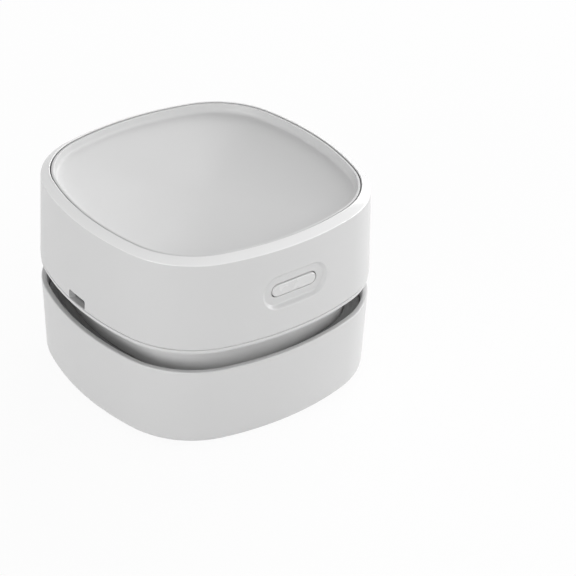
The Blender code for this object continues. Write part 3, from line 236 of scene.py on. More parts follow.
class BrushSizes(bpy.types.PropertyGroup):
    """Sizes of the brush ring under the cup."""

    radius: length("Radius", "Middle radius of the ring of bristles", 0.0218)
    width: length("Width", "Width of the ring", 0.0030)
    rows: bpy.props.IntProperty(name="Rows", description="Rows of bristles", default=6, min=1)
    strands: bpy.props.IntProperty(
        name="Strands", description="Bristles along one row of an arc", default=44, min=1)


class Finishes(bpy.types.PropertyGroup):
    """Colours of the materials, as the eye sees them in linear light."""

    shell: colour("Shell", "White of the cup and the housing", (0.57, 0.57, 0.57))
    # The rim's colour is the shell white made brighter: a painted highlight where the rim faces up to the
    # light.
    rim: colour("Rim", "White of the polished rim, brightened as a painted highlight", (0.80, 0.80, 0.80))
    dish: colour("Dish", "Pale grey of the top cover", (0.63, 0.63, 0.63))
    button: colour("Button", "White of the button", (0.60, 0.60, 0.60))
    neck: colour("Neck", "Grey of the neck", (0.66, 0.66, 0.66))
    black: colour("Black", "Black of the fan and switch", (0.022, 0.022, 0.024))
    rubber: colour("Rubber", "Dark grey of the feet", (0.03, 0.03, 0.031))
    seal: colour("Seal", "Grey of the soft seal", (0.22, 0.22, 0.22))
    nylon: colour("Nylon", "Near black of the bristles", (0.018, 0.018, 0.02))
    net: colour("Net", "Pale grey of the filter net", (0.52, 0.52, 0.50))
    inner: colour("Inner", "Grey of the fan cover and filter frame", (0.40, 0.40, 0.40))
    foam: colour("Foam", "Charcoal of the filter foam", (0.045, 0.045, 0.048))
    # This amount scales the rubbed edges, the smudges, the painted edge highlight and the painted crease
    # shade.
    wear_and_painted_light: share("Wear", "How much rubbing, smudges, painted edge highlight and painted crease shade show", 0.35)


class StageView(bpy.types.PropertyGroup):
    """The camera and lamps."""

    azimuth: bpy.props.FloatProperty(
        name="Azimuth", description="Way round from the front",
        default=math.radians(-35.612), subtype="ANGLE")
    elevation: bpy.props.FloatProperty(
        name="Elevation", description="Height of the view",
        default=math.radians(32.162), subtype="ANGLE")
    roll: bpy.props.FloatProperty(
        name="Roll", description="Tilt of the picture", default=math.radians(0.626), subtype="ANGLE")
    distance: length("Distance", "Camera to the middle of the body", 0.5584)
    target: length("Target height", "Height of the point that the camera is set by", 0.03071)
    focal: bpy.props.FloatProperty(
        name="Focal length", description="Focal length in picture widths", default=1972.14 / 576)
    aside: bpy.props.FloatProperty(
        name="Aside", description="Target's place left of the middle, in picture widths",
        default=83.404 / 576)
    above: bpy.props.FloatProperty(
        name="Above", description="Target's place above the middle, in picture widths",
        default=25.651 / 576)


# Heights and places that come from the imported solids

def low(node):
    """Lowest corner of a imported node."""
    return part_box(node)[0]


def high(node):
    """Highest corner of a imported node."""
    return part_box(node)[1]


CUP_BOTTOM = low("dust_cup")[2]
CUP_LIP = high("dust_cup")[2]
HOUSING_BOTTOM = low("upper_housing")[2]
RIM_TOP = high("upper_housing")[2]
BUTTON_HEIGHT = (low("power_button")[2] + high("power_button")[2]) / 2
PORT_HEIGHT = (low("usb_socket")[2] + high("usb_socket")[2]) / 2


# The outline, its rings and the sweep that joins them

def sizes(name):
    """The property group of the scene by its name."""
    return getattr(bpy.context.scene, "vacuum_" + name)


def arc_centres():
    """Distance of the side and corner arc centres, and the angle where they join."""
    body = sizes("body")
    side = body.width / 2 - body.side_radius
    spread = body.side_radius - body.corner_radius
    corner = (side + math.sqrt(2 * spread ** 2 - side ** 2)) / 2
    return side, corner, math.atan2(corner, corner - side)


def outline(inset):
    """Points of the body outline, moved inward by the inset."""
    body = sizes("body")
    side, corner, joint = arc_centres()
    points = []
    for quarter in range(4):
        turn = Matrix.Rotation(quarter * math.pi / 2, 2)
        for step in range(SIDE_STEPS):
            angle = joint * (2 * step / SIDE_STEPS - 1)
            along = Vector((math.cos(angle), math.sin(angle)))
            points.append(turn @ (Vector((side, 0)) + along * (body.side_radius - inset)))
        for step in range(CORNER_STEPS):
            angle = joint + (math.pi / 2 - 2 * joint) * step / CORNER_STEPS
            along = Vector((math.cos(angle), math.sin(angle)))
            points.append(turn @ (Vector((corner, corner)) + along * (body.corner_radius - inset)))
    return points


def face_reach(inset, offset=0):
    """Distance from the axis to a side of the inset outline, at an offset along it."""
    side = arc_centres()[0]
    return side + math.sqrt((sizes("body").side_radius - inset) ** 2 - offset ** 2)


def ring(inset, height, fillet=0, part=1):
    """A level ring of the outline, with the radius of its edge."""
    return [Vector((p.x * part, p.y * part, height)) for p in outline(inset)], fillet


def hoop(radius, height, fillet=0):
    """A level circle whose points lie in line with the outline's."""
    return [Vector((*(p.normalized() * radius), height)) for p in outline(0)], fillet


def circle(radius, height, fillet=0, steps=ROUND_STEPS):
    """A level circle of even steps."""
    points = []
    for step in range(steps):
        angle = 2 * math.pi * step / steps
        points.append(Vector((radius * math.cos(angle), radius * math.sin(angle), height)))
    return points, fillet


def pill(size, width, depth, fillet=0):
    """An upright bar outline with half-round ends, at a depth along Y."""
    radius = width / 2
    half = SMALL_STEPS // 2
    points = []
    for end in (1, -1):
        for step in range(half + 1):
            angle = math.pi * (step / half - 1 / 2)
            x = end * (size / 2 - radius + radius * math.cos(angle))
            points.append(Vector((x, depth, BUTTON_HEIGHT + end * radius * math.sin(angle))))
    return points, fillet


def deselect():
    """Leave nothing selected and no mode but object mode."""
    if bpy.context.mode != "OBJECT":
        bpy.ops.object.mode_set(mode="OBJECT")
    bpy.ops.object.select_all(action="DESELECT")


def sweep(name, stations, closed=True):
    """Extrude a circle of points from ring to ring and round the marked edges.

    A closed sweep joins its last ring to its first. An open one starts and
    ends in a ring that is drawn together to a point.
    """
    deselect()
    bpy.ops.mesh.primitive_circle_add(vertices=len(stations[0][0]), enter_editmode=True)
    piece = bpy.context.object
    piece.name = name
    piece.data.name = name
    bpy.ops.mesh.select_mode(type="VERT")
    bpy.ops.mesh.select_all(action="SELECT")
    bm = bmesh.from_edit_mesh(piece.data)
    number = bm.verts.layers.int.new("number")
    level = bm.verts.layers.int.new("level")
    for index, vert in enumerate(bm.verts):
        vert[number] = index
    bmesh.update_edit_mesh(piece.data)
    for index, (points, fillet) in enumerate(stations):
        if index:
            bpy.ops.mesh.extrude_region_move()
        bm = bmesh.from_edit_mesh(piece.data)
        number = bm.verts.layers.int["number"]
        level = bm.verts.layers.int["level"]
        for vert in bm.verts:
            if vert.select:
                vert.co = points[vert[number]]
                vert[level] = index
        bmesh.update_edit_mesh(piece.data)
    if closed:
        bpy.ops.mesh.select_mode(type="EDGE")
        bpy.ops.mesh.select_all(action="DESELECT")
        bm = bmesh.from_edit_mesh(piece.data)
        level = bm.verts.layers.int["level"]
        for edge in bm.edges:
            ends = {vert[level] for vert in edge.verts}
            edge.select = ends in ({0}, {len(stations) - 1})
        bmesh.update_edit_mesh(piece.data)
        bpy.ops.mesh.bridge_edge_loops()
    widest = max(fillet for points, fillet in stations)
    if widest:
        bm = bmesh.from_edit_mesh(piece.data)
        level = bm.verts.layers.int["level"]
        weight = bm.edges.layers.float.new("bevel_weight_edge")
        for edge in bm.edges:
            start, end = (vert[level] for vert in edge.verts)
            if start == end:
                edge[weight] = stations[start][1] / widest
        bmesh.update_edit_mesh(piece.data)
    bpy.ops.mesh.select_mode(type="VERT")
    tidy_faces()
    bpy.ops.object.mode_set(mode="OBJECT")
    if widest:
        fillets = piece.modifiers.new("fillets", "BEVEL")
        fillets.limit_method = "WEIGHT"
        fillets.width = widest
        fillets.segments = FILLET_SEGMENTS
        fillets.use_clamp_overlap = False
        bpy.ops.object.modifier_apply(modifier=fillets.name)
    bpy.ops.object.shade_smooth_by_angle(angle=SHARP_ANGLE)
    return piece


def tidy_faces():
    """Merge doubles and turn all faces of the edited mesh outward."""
    bpy.ops.mesh.select_all(action="SELECT")
    bpy.ops.mesh.remove_doubles(threshold=MERGE_DISTANCE)
    bpy.ops.mesh.normals_make_consistent(inside=False)


def combine(piece, tool, operation="DIFFERENCE"):
    """Cut a tool out of a piece, or fuse it on, and drop the tool."""
    deselect()
    bpy.context.view_layer.objects.active = piece
    piece.select_set(True)
    step = piece.modifiers.new("combine", "BOOLEAN")
    step.operation = operation
    step.solver = "EXACT"
    step.object = tool
    bpy.ops.object.modifier_apply(modifier=step.name)
    bpy.data.objects.remove(tool)


def joined(name, pieces):
    """Join several objects into one."""
    deselect()
    for piece in pieces:
        piece.select_set(True)
    bpy.context.view_layer.objects.active = pieces[0]
    bpy.ops.object.join()
    piece = bpy.context.object
    piece.name = name
    piece.data.name = name
    return piece


def finished(piece, material, body, slot, *nodes):
    """Give a piece its finish, its body and the nodes that it stands for."""
    piece.data.materials.clear()
    piece.data.materials.append(material)
    for name in ("number", "level", "bevel_weight_edge"):
        layer = piece.data.attributes.get(name)
        if layer:
            piece.data.attributes.remove(layer)
    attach(piece, body)
    if nodes:
        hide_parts(*nodes)
    return piece


# Shader node groups

def new_group(name, inputs, outputs):
    """A shader node group with named sockets, and its two end nodes."""
    group = bpy.data.node_groups.new(name, "ShaderNodeTree")
    for label, kind, default in inputs:
        socket = group.interface.new_socket(label, in_out="INPUT", socket_type="NodeSocket" + kind)
        socket.default_value = default
    for label, kind in outputs:
        group.interface.new_socket(label, in_out="OUTPUT", socket_type="NodeSocket" + kind)
    return group, group.nodes.new("NodeGroupInput"), group.nodes.new("NodeGroupOutput")


def node(tree, kind, values=(), **settings):
    """A new node with its settings, and with its input values or links."""
    made = tree.nodes.new("ShaderNode" + kind)
    for name, value in settings.items():
        setattr(made, name, value)
    for key, value in dict(values).items():
        if isinstance(value, bpy.types.NodeSocket):
            tree.links.new(value, made.inputs[key])
        else:
            made.inputs[key].default_value = value
    return made


def maths(tree, operation, first, second=0.0, third=0.0):
    """The result of one sum on two or three values or links."""
    return node(tree, "Math", {0: first, 1: second, 2: third}, operation=operation).outputs[0]


def noise(tree, place, scale, detail=2.0, roughness=0.5):
    """A noise value at the given scale, per metre."""
    values = {"Vector": place, "Scale": scale, "Detail": detail, "Roughness": roughness}
    return node(tree, "TexNoise", values).outputs["Fac"]


def mixed(tree, factor, first, second):
    """Two colours mixed by a factor."""
    made = node(tree, "Mix", {0: factor, 6: first, 7: second}, data_type="RGBA")
    return made.outputs[2]


def spread(tree, value, low_in, high_in, low_out, high_out):
    """A value carried from one range to another, held at its ends."""
    values = {0: value, 1: low_in, 2: high_in, 3: low_out, 4: high_out}
    return node(tree, "MapRange", values).outputs[0]


def moulded_skin():
    """Fine spark-eroded grain and faint flow marks of moulded plastic."""
    group, start, end = new_group(
        "Moulded skin",
        [("Colour", "Color", (0.8, 0.8, 0.8, 1)), ("Grain scale", "Float", 3200.0),
         ("Mottle", "Float", 0.02), ("Roughness", "Float", 0.4), ("Roughness spread", "Float", 0.06)],
        [("Colour", "Color"), ("Roughness", "Float"), ("Height", "Float")],
    )
    place = node(group, "TexCoord").outputs["Object"]
    grain = noise(group, place, start.outputs["Grain scale"], 3.0, 0.6)
    cloud = noise(group, place, 38.0, 3.0, 0.55)
    ripple = noise(group, place, 140.0, 2.0, 0.5)
    tone = maths(group, "MULTIPLY_ADD", maths(group, "SUBTRACT", cloud, 0.5), start.outputs["Mottle"], 1.0)
    bright = node(group, "VectorMath", {0: start.outputs["Colour"], "Scale": tone}, operation="SCALE")
    swing = maths(group, "MULTIPLY", maths(group, "SUBTRACT", cloud, 0.5), start.outputs["Roughness spread"])
    rough = maths(group, "ADD", start.outputs["Roughness"], maths(group, "MULTIPLY", swing, 2.0))
    height = maths(group, "ADD", grain, maths(group, "MULTIPLY", ripple, 0.4))
    group.links.new(bright.outputs[0], end.inputs["Colour"])
    group.links.new(rough, end.inputs["Roughness"])
    group.links.new(height, end.inputs["Height"])
    return group


def rubbing_and_painted_light():
    """Lighter rubbed edges in patches, partly a painted highlight; dull smudges; and painted shade in the
    creases.
    """
    group, start, end = new_group(
        "Rubbing and painted light",
        [("Colour", "Color", (0.8, 0.8, 0.8, 1)), ("Rubbed and highlight colour", "Color", (0.9, 0.9, 0.9, 1)),
         ("Painted shade colour", "Color", (0.35, 0.34, 0.32, 1)), ("Roughness", "Float", 0.4),
         ("Amount", "Float", 0.4)],
        [("Colour", "Color"), ("Roughness", "Float")],
    )
    place = node(group, "TexCoord").outputs["Object"]
    bend = node(group, "NewGeometry").outputs["Pointiness"]
    # Convex edges take a lighter copy of the colour in patches: partly rubbed plastic, partly a painted
    # highlight.
    edge = spread(group, bend, 0.52, 0.60, 0.0, 1.0)
    # Concave creases take a darker copy of the colour: painted shade.
    nook = spread(group, bend, 0.47, 0.40, 0.0, 1.0)
    patches = spread(group, noise(group, place, 210.0, 4.0, 0.65), 0.42, 0.72, 0.0, 1.0)
    rubbed_and_highlit = maths(group, "MULTIPLY", maths(group, "MULTIPLY", edge, patches), start.outputs["Amount"])
    crease_shade = maths(group, "MULTIPLY", maths(group, "MULTIPLY", nook, 0.5), start.outputs["Amount"])
    smudge = spread(group, noise(group, place, 62.0, 5.0, 0.6), 0.50, 0.78, 0.0, 0.10)
    first = mixed(group, rubbed_and_highlit, start.outputs["Colour"], start.outputs["Rubbed and highlight colour"])
    second = mixed(group, crease_shade, first, start.outputs["Painted shade colour"])
    dull = maths(group, "MULTIPLY", smudge, start.outputs["Amount"])
    rough = maths(group, "ADD", maths(group, "ADD", start.outputs["Roughness"], dull), rubbed_and_highlit)
    group.links.new(second, end.inputs["Colour"])
    group.links.new(rough, end.inputs["Roughness"])
    return group


def group_named(name, maker):
    """A node group, made on its first use."""
    return bpy.data.node_groups.get(name) or maker()


def new_material(name):
    """An empty material, its tree and its Principled BSDF."""
    material = bpy.data.materials.new(name)
    material.use_nodes = True
    tree = material.node_tree
    return material, tree, tree.nodes["Principled BSDF"]


def place_group(tree, name, maker, values):
    """A group node with its values or links set."""
    return node(tree, "Group", values, node_tree=group_named(name, maker))


def plastic(name, base, roughness, bump, mottle=0.02, wear_and_painted_light=None, coat=0.0, grain=3200.0):
    """Moulded plastic with grain, flow marks, rubbed edges and smudges, with a painted edge highlight and
    painted crease shade.
    """
    known = bpy.data.materials.get(name)
    if known:
        return known
    material, tree, shader = new_material(name)
    rgba = (*base, 1)
    skin = place_group(tree, "Moulded skin", moulded_skin, {
        "Colour": rgba, "Grain scale": grain, "Mottle": mottle, "Roughness": roughness})
    worn = place_group(tree, "Rubbing and painted light", rubbing_and_painted_light, {
        "Colour": skin.outputs["Colour"], "Roughness": skin.outputs["Roughness"],
        # A lighter copy of the base for the rubbed edges, partly a painted highlight.
        "Rubbed and highlight colour": tuple(min(1, c * 1.12 + 0.02) for c in base) + (1,),
        # A darker copy of the base, for the painted shade in creases.
        "Painted shade colour": tuple(c * 0.55 + 0.02 for c in base) + (1,),
        "Amount": sizes("finishes").wear_and_painted_light if wear_and_painted_light is None else wear_and_painted_light})
    bumps = node(tree, "Bump", {"Strength": bump, "Distance": 0.0001, "Height": skin.outputs["Height"]})
    tree.links.new(worn.outputs["Colour"], shader.inputs["Base Color"])
    tree.links.new(worn.outputs["Roughness"], shader.inputs["Roughness"])
    tree.links.new(bumps.outputs[0], shader.inputs["Normal"])
    shader.inputs["IOR"].default_value = 1.5
    shader.inputs["Coat Weight"].default_value = coat
    shader.inputs["Coat Roughness"].default_value = 0.12
    return material


def stretched_grain():
    """Fine drawn lines along Z, for metal."""
    group, start, end = new_group(
        "Stretched grain",
        [("Colour", "Color", (0.5, 0.5, 0.5, 1)), ("Scale", "Float", 1500.0),
         ("Roughness", "Float", 0.3), ("Spread", "Float", 0.12)],
        [("Colour", "Color"), ("Roughness", "Float"), ("Height", "Float")],
    )
    place = node(group, "TexCoord").outputs["Object"]
    stretch = node(group, "Mapping", {"Vector": place, "Scale": (1, 1, 0.06)}).outputs[0]
    lines = noise(group, stretch, start.outputs["Scale"], 3.0, 0.6)
    cloud = noise(group, place, 160.0, 3.0, 0.5)
    shade = spread(group, maths(group, "ADD", lines, cloud), 0.6, 1.4, 0.86, 1.10)
    tinted = node(group, "VectorMath", {0: start.outputs["Colour"], "Scale": shade}, operation="SCALE")
    swing = maths(group, "MULTIPLY", maths(group, "SUBTRACT", cloud, 0.5), start.outputs["Spread"])
    rough = maths(group, "ADD", start.outputs["Roughness"], maths(group, "MULTIPLY", swing, 2.0))
    group.links.new(tinted.outputs[0], end.inputs["Colour"])
    group.links.new(rough, end.inputs["Roughness"])
    group.links.new(lines, end.inputs["Height"])
    return group


def metal(name, base, roughness, scale):
    """Bare metal with drawn lines and cloudy roughness."""
    material, tree, shader = new_material(name)
    grain = place_group(tree, "Stretched grain", stretched_grain, {
        "Colour": (*base, 1), "Scale": scale, "Roughness": roughness})
    bumps = node(tree, "Bump", {"Strength": 0.15, "Distance": 0.0001, "Height": grain.outputs["Height"]})
    tree.links.new(grain.outputs["Colour"], shader.inputs["Base Color"])
    tree.links.new(grain.outputs["Roughness"], shader.inputs["Roughness"])
    tree.links.new(bumps.outputs[0], shader.inputs["Normal"])
    shader.inputs["Metallic"].default_value = 1.0
    return material


def rubber(name, base):
    """Soft rubber with a dull bloom."""
    material, tree, shader = new_material(name)
    skin = place_group(tree, "Moulded skin", moulded_skin, {
        "Colour": (*base, 1), "Grain scale": 2400.0, "Mottle": 0.12, "Roughness": 0.72,
        "Roughness spread": 0.1})
    place = node(tree, "TexCoord").outputs["Object"]
    bloom = spread(tree, noise(tree, place, 420.0, 4.0, 0.6), 0.5, 0.8, 0.0, 0.16)
    pale = mixed(tree, bloom, skin.outputs["Colour"], (0.30, 0.29, 0.27, 1))
    bumps = node(tree, "Bump", {"Strength": 0.3, "Distance": 0.0001, "Height": skin.outputs["Height"]})
    tree.links.new(pale, shader.inputs["Base Color"])
    tree.links.new(skin.outputs["Roughness"], shader.inputs["Roughness"])
    tree.links.new(bumps.outputs[0], shader.inputs["Normal"])
    shader.inputs["IOR"].default_value = 1.45
    return material


def fibre_material():
    """Near-black nylon bristles, paler and rougher at their worn tips."""
    material, tree, shader = new_material("Bristle nylon")
    place = node(tree, "TexCoord").outputs["Object"]
    height = node(tree, "SeparateXYZ", {0: place}).outputs["Z"]
    tips = spread(tree, height, 0.0002, 0.0012, 1.0, 0.0)
    strand = noise(tree, place, 900.0, 2.0)
    base = (*sizes("finishes").nylon, 1)
    varied = mixed(tree, strand, base, tuple(min(1, c * 2.4) for c in base[:3]) + (1,))
    worn = mixed(tree, maths(tree, "MULTIPLY", tips, 0.35), varied, (0.16, 0.155, 0.15, 1))
    rough = spread(tree, strand, 0.3, 0.7, 0.34, 0.52)
    tree.links.new(worn, shader.inputs["Base Color"])
    tree.links.new(rough, shader.inputs["Roughness"])
    shader.inputs["IOR"].default_value = 1.53
    return material


def net_material():
    """Fine woven filter net, its threads over and under each other."""
    material, tree, shader = new_material("Filter net weave")
    place = node(tree, "TexCoord").outputs["Object"]
    axes = node(tree, "SeparateXYZ", {0: place})
    pitch = 2 * math.pi / 0.0007
    along = maths(tree, "SINE", maths(tree, "MULTIPLY", axes.outputs["X"], pitch))
    across = maths(tree, "SINE", maths(tree, "MULTIPLY", axes.outputs["Y"], pitch))
    warp = maths(tree, "ABSOLUTE", along)
    weft = maths(tree, "ABSOLUTE", across)
    thread = maths(tree, "MAXIMUM", warp, weft)
    hole = spread(tree, thread, 0.30, 0.62, 1.0, 0.0)
    cross = maths(tree, "MULTIPLY", along, across)
    height = maths(tree, "MULTIPLY_ADD", cross, 0.3, thread)
    dust = spread(tree, noise(tree, place, 260.0, 4.0, 0.6), 0.45, 0.75, 0.0, 0.35)
    pale = mixed(tree, dust, (*sizes("finishes").net, 1), (0.30, 0.27, 0.23, 1))
    dark = mixed(tree, hole, pale, (0.03, 0.03, 0.03, 1))
    bumps = node(tree, "Bump", {"Strength": 0.7, "Distance": 0.0002, "Height": height})
    tree.links.new(dark, shader.inputs["Base Color"])
    tree.links.new(bumps.outputs[0], shader.inputs["Normal"])
    tree.links.new(spread(tree, dust, 0.0, 0.35, 0.55, 0.85), shader.inputs["Roughness"])
    return material


def foam_material():
    """Open-cell foam, with painted shade in its pores and painted light on its cell walls."""
    material, tree, shader = new_material("Filter foam cells")
    place = node(tree, "TexCoord").outputs["Object"]
    cells = node(tree, "TexVoronoi", {"Vector": place, "Scale": 1500.0}, feature="F1").outputs["Distance"]
    pores = spread(tree, cells, 0.15, 0.55, 0.0, 1.0)
    base = sizes("finishes").foam
    # A darker copy of the foam's colour in the pores is painted shade, and a lighter copy on the cell walls
    # is painted light.
    dark = tuple(c * 0.25 for c in base) + (1,)
    pale = tuple(min(1, c * 1.9) for c in base) + (1,)
    walls = mixed(tree, pores, dark, pale)
    bumps = node(tree, "Bump", {"Strength": 1.0, "Distance": 0.0004, "Height": pores})
    tree.links.new(walls, shader.inputs["Base Color"])
    tree.links.new(bumps.outputs[0], shader.inputs["Normal"])
    tree.links.new(spread(tree, pores, 0.0, 1.0, 0.95, 0.8), shader.inputs["Roughness"])
    return material


def board_material():
    """Green circuit board with faint traces under its lacquer."""
    material, tree, shader = new_material("Board lacquer")
    place = node(tree, "TexCoord").outputs["Object"]
    values = {"Vector": place, "Scale": 420.0}
    cells = node(tree, "TexVoronoi", values, feature="DISTANCE_TO_EDGE").outputs["Distance"]
    traces = spread(tree, cells, 0.05, 0.09, 1.0, 0.0)
    shade = mixed(tree, traces, (0.015, 0.12, 0.045, 1), (0.05, 0.24, 0.09, 1))
    bumps = node(tree, "Bump", {"Strength": 0.4, "Distance": 0.0001, "Height": traces})
    tree.links.new(shade, shader.inputs["Base Color"])
    tree.links.new(bumps.outputs[0], shader.inputs["Normal"])
    rough = spread(tree, noise(tree, place, 300.0, 3.0), 0.3, 0.7, 0.28, 0.42)
    tree.links.new(rough, shader.inputs["Roughness"])
    return material


# The main shells

def cup_lean(height):
    """Inset of the cup's outer face at a height."""
    cup = sizes("cup")
    return cup.taper * (CUP_LIP - height) / (CUP_LIP - CUP_BOTTOM - cup.heel)


def housing_lean(height):
    """Inset of the housing's outer face at a height."""
    housing = sizes("housing")
    foot = HOUSING_BOTTOM + housing.strip + 0.001
    top = RIM_TOP - housing.rim_rise
    return housing.taper * max(0, height - foot) / (top - foot)


class CupOperator(bpy.types.Operator):
    """Build the dust cup with its ledge, intake chimney and brush groove"""

    bl_idname = "vacuum.cup"
    bl_label = "Dust cup"

    def execute(self, context):
        cup = sizes("cup")
        intake = sizes("intake")
        ledge_top = low("fan_housing")[2] - 0.0003
        ledge_low = ledge_top - 0.001
        floor = CUP_BOTTOM + cup.floor
        groove_top = CUP_BOTTOM + intake.groove_depth
        ridge_top = floor + intake.ridge_height
        chimney_top = low("filter_frame")[2] - intake.headroom
        inner = cup.wall + cup.ledge
        under = ledge_low - (inner - cup.wall - cup_lean(ledge_low))
        piece = sweep("dust_cup_shell", [
            hoop(intake.mouth, CUP_BOTTOM, SOFT_EDGE),
            hoop(intake.groove_inner, CUP_BOTTOM, FINE_EDGE),
            hoop(intake.groove_inner, groove_top),
            hoop(intake.groove_outer, groove_top),
            hoop(intake.groove_outer, CUP_BOTTOM, FINE_EDGE),
            ring(cup.taper + 0.006, CUP_BOTTOM),
            ring(cup.taper, CUP_BOTTOM, cup.heel),
            ring(cup_lean(CUP_LIP - 0.008), CUP_LIP - 0.008),
            ring(0, CUP_LIP, cup.lip_round),
            ring(cup.wall, CUP_LIP, cup.lip_round),
            ring(cup.wall + cup_lean(ledge_top), ledge_top, FINE_EDGE),
            ring(inner, ledge_top, FINE_EDGE),
            ring(inner, ledge_low, FINE_EDGE),
            ring(cup.wall + cup_lean(under), under),
            ring(cup.wall + cup_lean(floor + 0.004), floor + 0.004),
            ring(cup.wall + cup_lean(floor), floor, cup.inner_heel),
            hoop(intake.ridge_outer, floor, SOFT_EDGE),
            hoop(intake.ridge_outer, ridge_top, SOFT_EDGE),
            hoop(intake.ridge_inner, ridge_top, SOFT_EDGE),
            hoop(intake.ridge_inner, floor, SOFT_EDGE),
            hoop(intake.chimney, floor, ROUND_EDGE),
            hoop(intake.chimney, chimney_top, ROUND_EDGE),
            hoop(intake.bore, chimney_top, ROUND_EDGE),
            hoop(intake.bore, CUP_BOTTOM + 0.001, ROUND_EDGE),
        ])
        finished(piece, shell_material(), "base", "white_shell", "dust_cup")
        return {"FINISHED"}


def shell_material():
    """White satin plastic of the cup and the housing."""
    return plastic("White shell plastic", sizes("finishes").shell, 0.36, 0.16, coat=0.25)


class HousingOperator(bpy.types.Operator):
    """Build the upper housing with its rim, button recess and port window"""

    bl_idname = "vacuum.housing"
    bl_label = "Upper housing"

    def execute(self, context):
        housing = sizes("housing")
        strip_top = HOUSING_BOTTOM + housing.strip
        rim_edge = RIM_TOP - housing.rim_rise
        inset = housing.taper + housing.rim_width
        inner = inset + 0.0002
        ledge_top = RIM_TOP - 0.0043
        ledge = inner + 0.0025
        stations = [
            ring(0.0002, HOUSING_BOTTOM, 0.0003),
            ring(0.0001, strip_top - 0.0002, 0.00008),
            ring(housing.groove, strip_top - 0.0001),
            ring(housing.groove, strip_top + 0.0001),
            ring(0, strip_top + 0.0003, 0.0001),
        ]
        first = strip_top + 0.0016
        spans = 9
        for step in range(spans + 1):
            height = first + (rim_edge - 0.0008 - first) * step / spans
            stations.append(ring(housing_lean(height), height))
        stations += [
            ring(housing.taper, rim_edge, housing.rim_round),
            ring(inset, RIM_TOP, housing.rim_round),
            ring(inner, RIM_TOP - 0.0002),
            ring(inner, ledge_top),
            ring(ledge, ledge_top),
            ring(ledge, ledge_top - 0.001),
            ring(housing.wall + housing.taper, ledge_top - 0.0035),
            ring(housing.wall, strip_top),
            ring(housing.wall, HOUSING_BOTTOM, 0.0002),
        ]
        piece = sweep("upper_housing_shell", stations)
        press_recess(piece)
        cut_window(piece)
        finished(piece, shell_material(), "upper_unit", "white_shell", "upper_housing")
        # The faces above the rim's lower edge take a brighter copy of the shell white: a painted highlight
        # where the rim faces up to the light.
        piece.data.materials.append(
            plastic("Rim plastic with painted highlight", sizes("finishes").rim, 0.22, 0.04, mottle=0.01, coat=0.5))
        for face in piece.data.polygons:
            if face.center.z > rim_edge - 0.00005:
                face.material_index = 1
        return {"FINISHED"}


def refine(piece, wanted, cuts):
    """Subdivide the faces whose middle the test wants."""
    deselect()
    bpy.context.view_layer.objects.active = piece
    piece.select_set(True)
    bpy.ops.object.mode_set(mode="EDIT")
    bpy.ops.mesh.select_mode(type="FACE")
    bpy.ops.mesh.select_all(action="DESELECT")
    bm = bmesh.from_edit_mesh(piece.data)
    for face in bm.faces:
        face.select = wanted(face.calc_center_median(), face.normal)
    bmesh.update_edit_mesh(piece.data)
    bpy.ops.mesh.subdivide(number_cuts=cuts, quadcorner="INNERVERT")
    bpy.ops.object.mode_set(mode="OBJECT")


def press_recess(piece):
    """Press the soft-edged recess for the button into the front wall."""
    button = sizes("button")
    wall = -face_reach(housing_lean(BUTTON_HEIGHT))
    floor = wall + button.recess_depth
    half = button.recess_width / 2 - button.recess_slope
    straight = (button.recess_length - button.recess_width) / 2
    reach = half + button.recess_slope

    def near(place, normal):
        beside = abs(place.x) < straight + reach + 0.001
        return normal.y < -0.8 and beside and abs(place.z - BUTTON_HEIGHT) < reach + 0.001

    refine(piece, near, 13)
    for vert in piece.data.vertices:
        x, y, z = vert.co
        if y > wall + 0.0018 or abs(x) > straight + reach + 0.004 or abs(z - BUTTON_HEIGHT) > reach + 0.003:
            continue
        y = -face_reach(housing_lean(z), x)
        away = math.hypot(max(abs(x) - straight, 0), z - BUTTON_HEIGHT) - half
        sink = min(max(1 - away / button.recess_slope, 0), 1)
        sink = sink * sink * (3 - 2 * sink)
        vert.co.y = y + (floor - y) * sink
    gap = 0.0003
    slot_length = button.length + 2 * gap
    slot_width = button.width + 2 * gap
    tool = sweep("slot", [
        pill(MERGE_DISTANCE, MERGE_DISTANCE / 2, floor - 0.003),
        pill(slot_length, slot_width, floor - 0.003),
        pill(slot_length, slot_width, floor + 0.003),
        pill(MERGE_DISTANCE, MERGE_DISTANCE / 2, floor + 0.003),
    ], closed=False)
    combine(piece, tool)


def cut_window(piece):
    """Cut the window for the charging plug into the left wall."""
    def near(place, normal):
        return normal.x < -0.8 and abs(place.y) < 0.008 and abs(place.z - PORT_HEIGHT) < 0.004

    refine(piece, near, 7)
    for vert in piece.data.vertices:
        x, y, z = vert.co
        on_wall = HOUSING_BOTTOM + 0.0016 < z < PORT_HEIGHT + 0.006
        if on_wall and abs(y) < 0.012 and x < -0.0412:
            vert.co.x = -face_reach(housing_lean(z), y)
    width = high("usb_socket")[1] - low("usb_socket")[1] + 0.0004
    tall = high("usb_socket")[2] - low("usb_socket")[2] + 0.0004
    deselect()
    bpy.ops.mesh.primitive_cube_add(size=1, location=(-0.0425, 0, PORT_HEIGHT), scale=(0.008, width, tall))
    tool = bpy.context.object
    bpy.ops.object.transform_apply(location=True, rotation=True, scale=True)
    rounds = tool.modifiers.new("rounds", "BEVEL")
    rounds.width = 0.0007
    rounds.segments = 5
    bpy.ops.object.modifier_apply(modifier=rounds.name)
    combine(piece, tool)


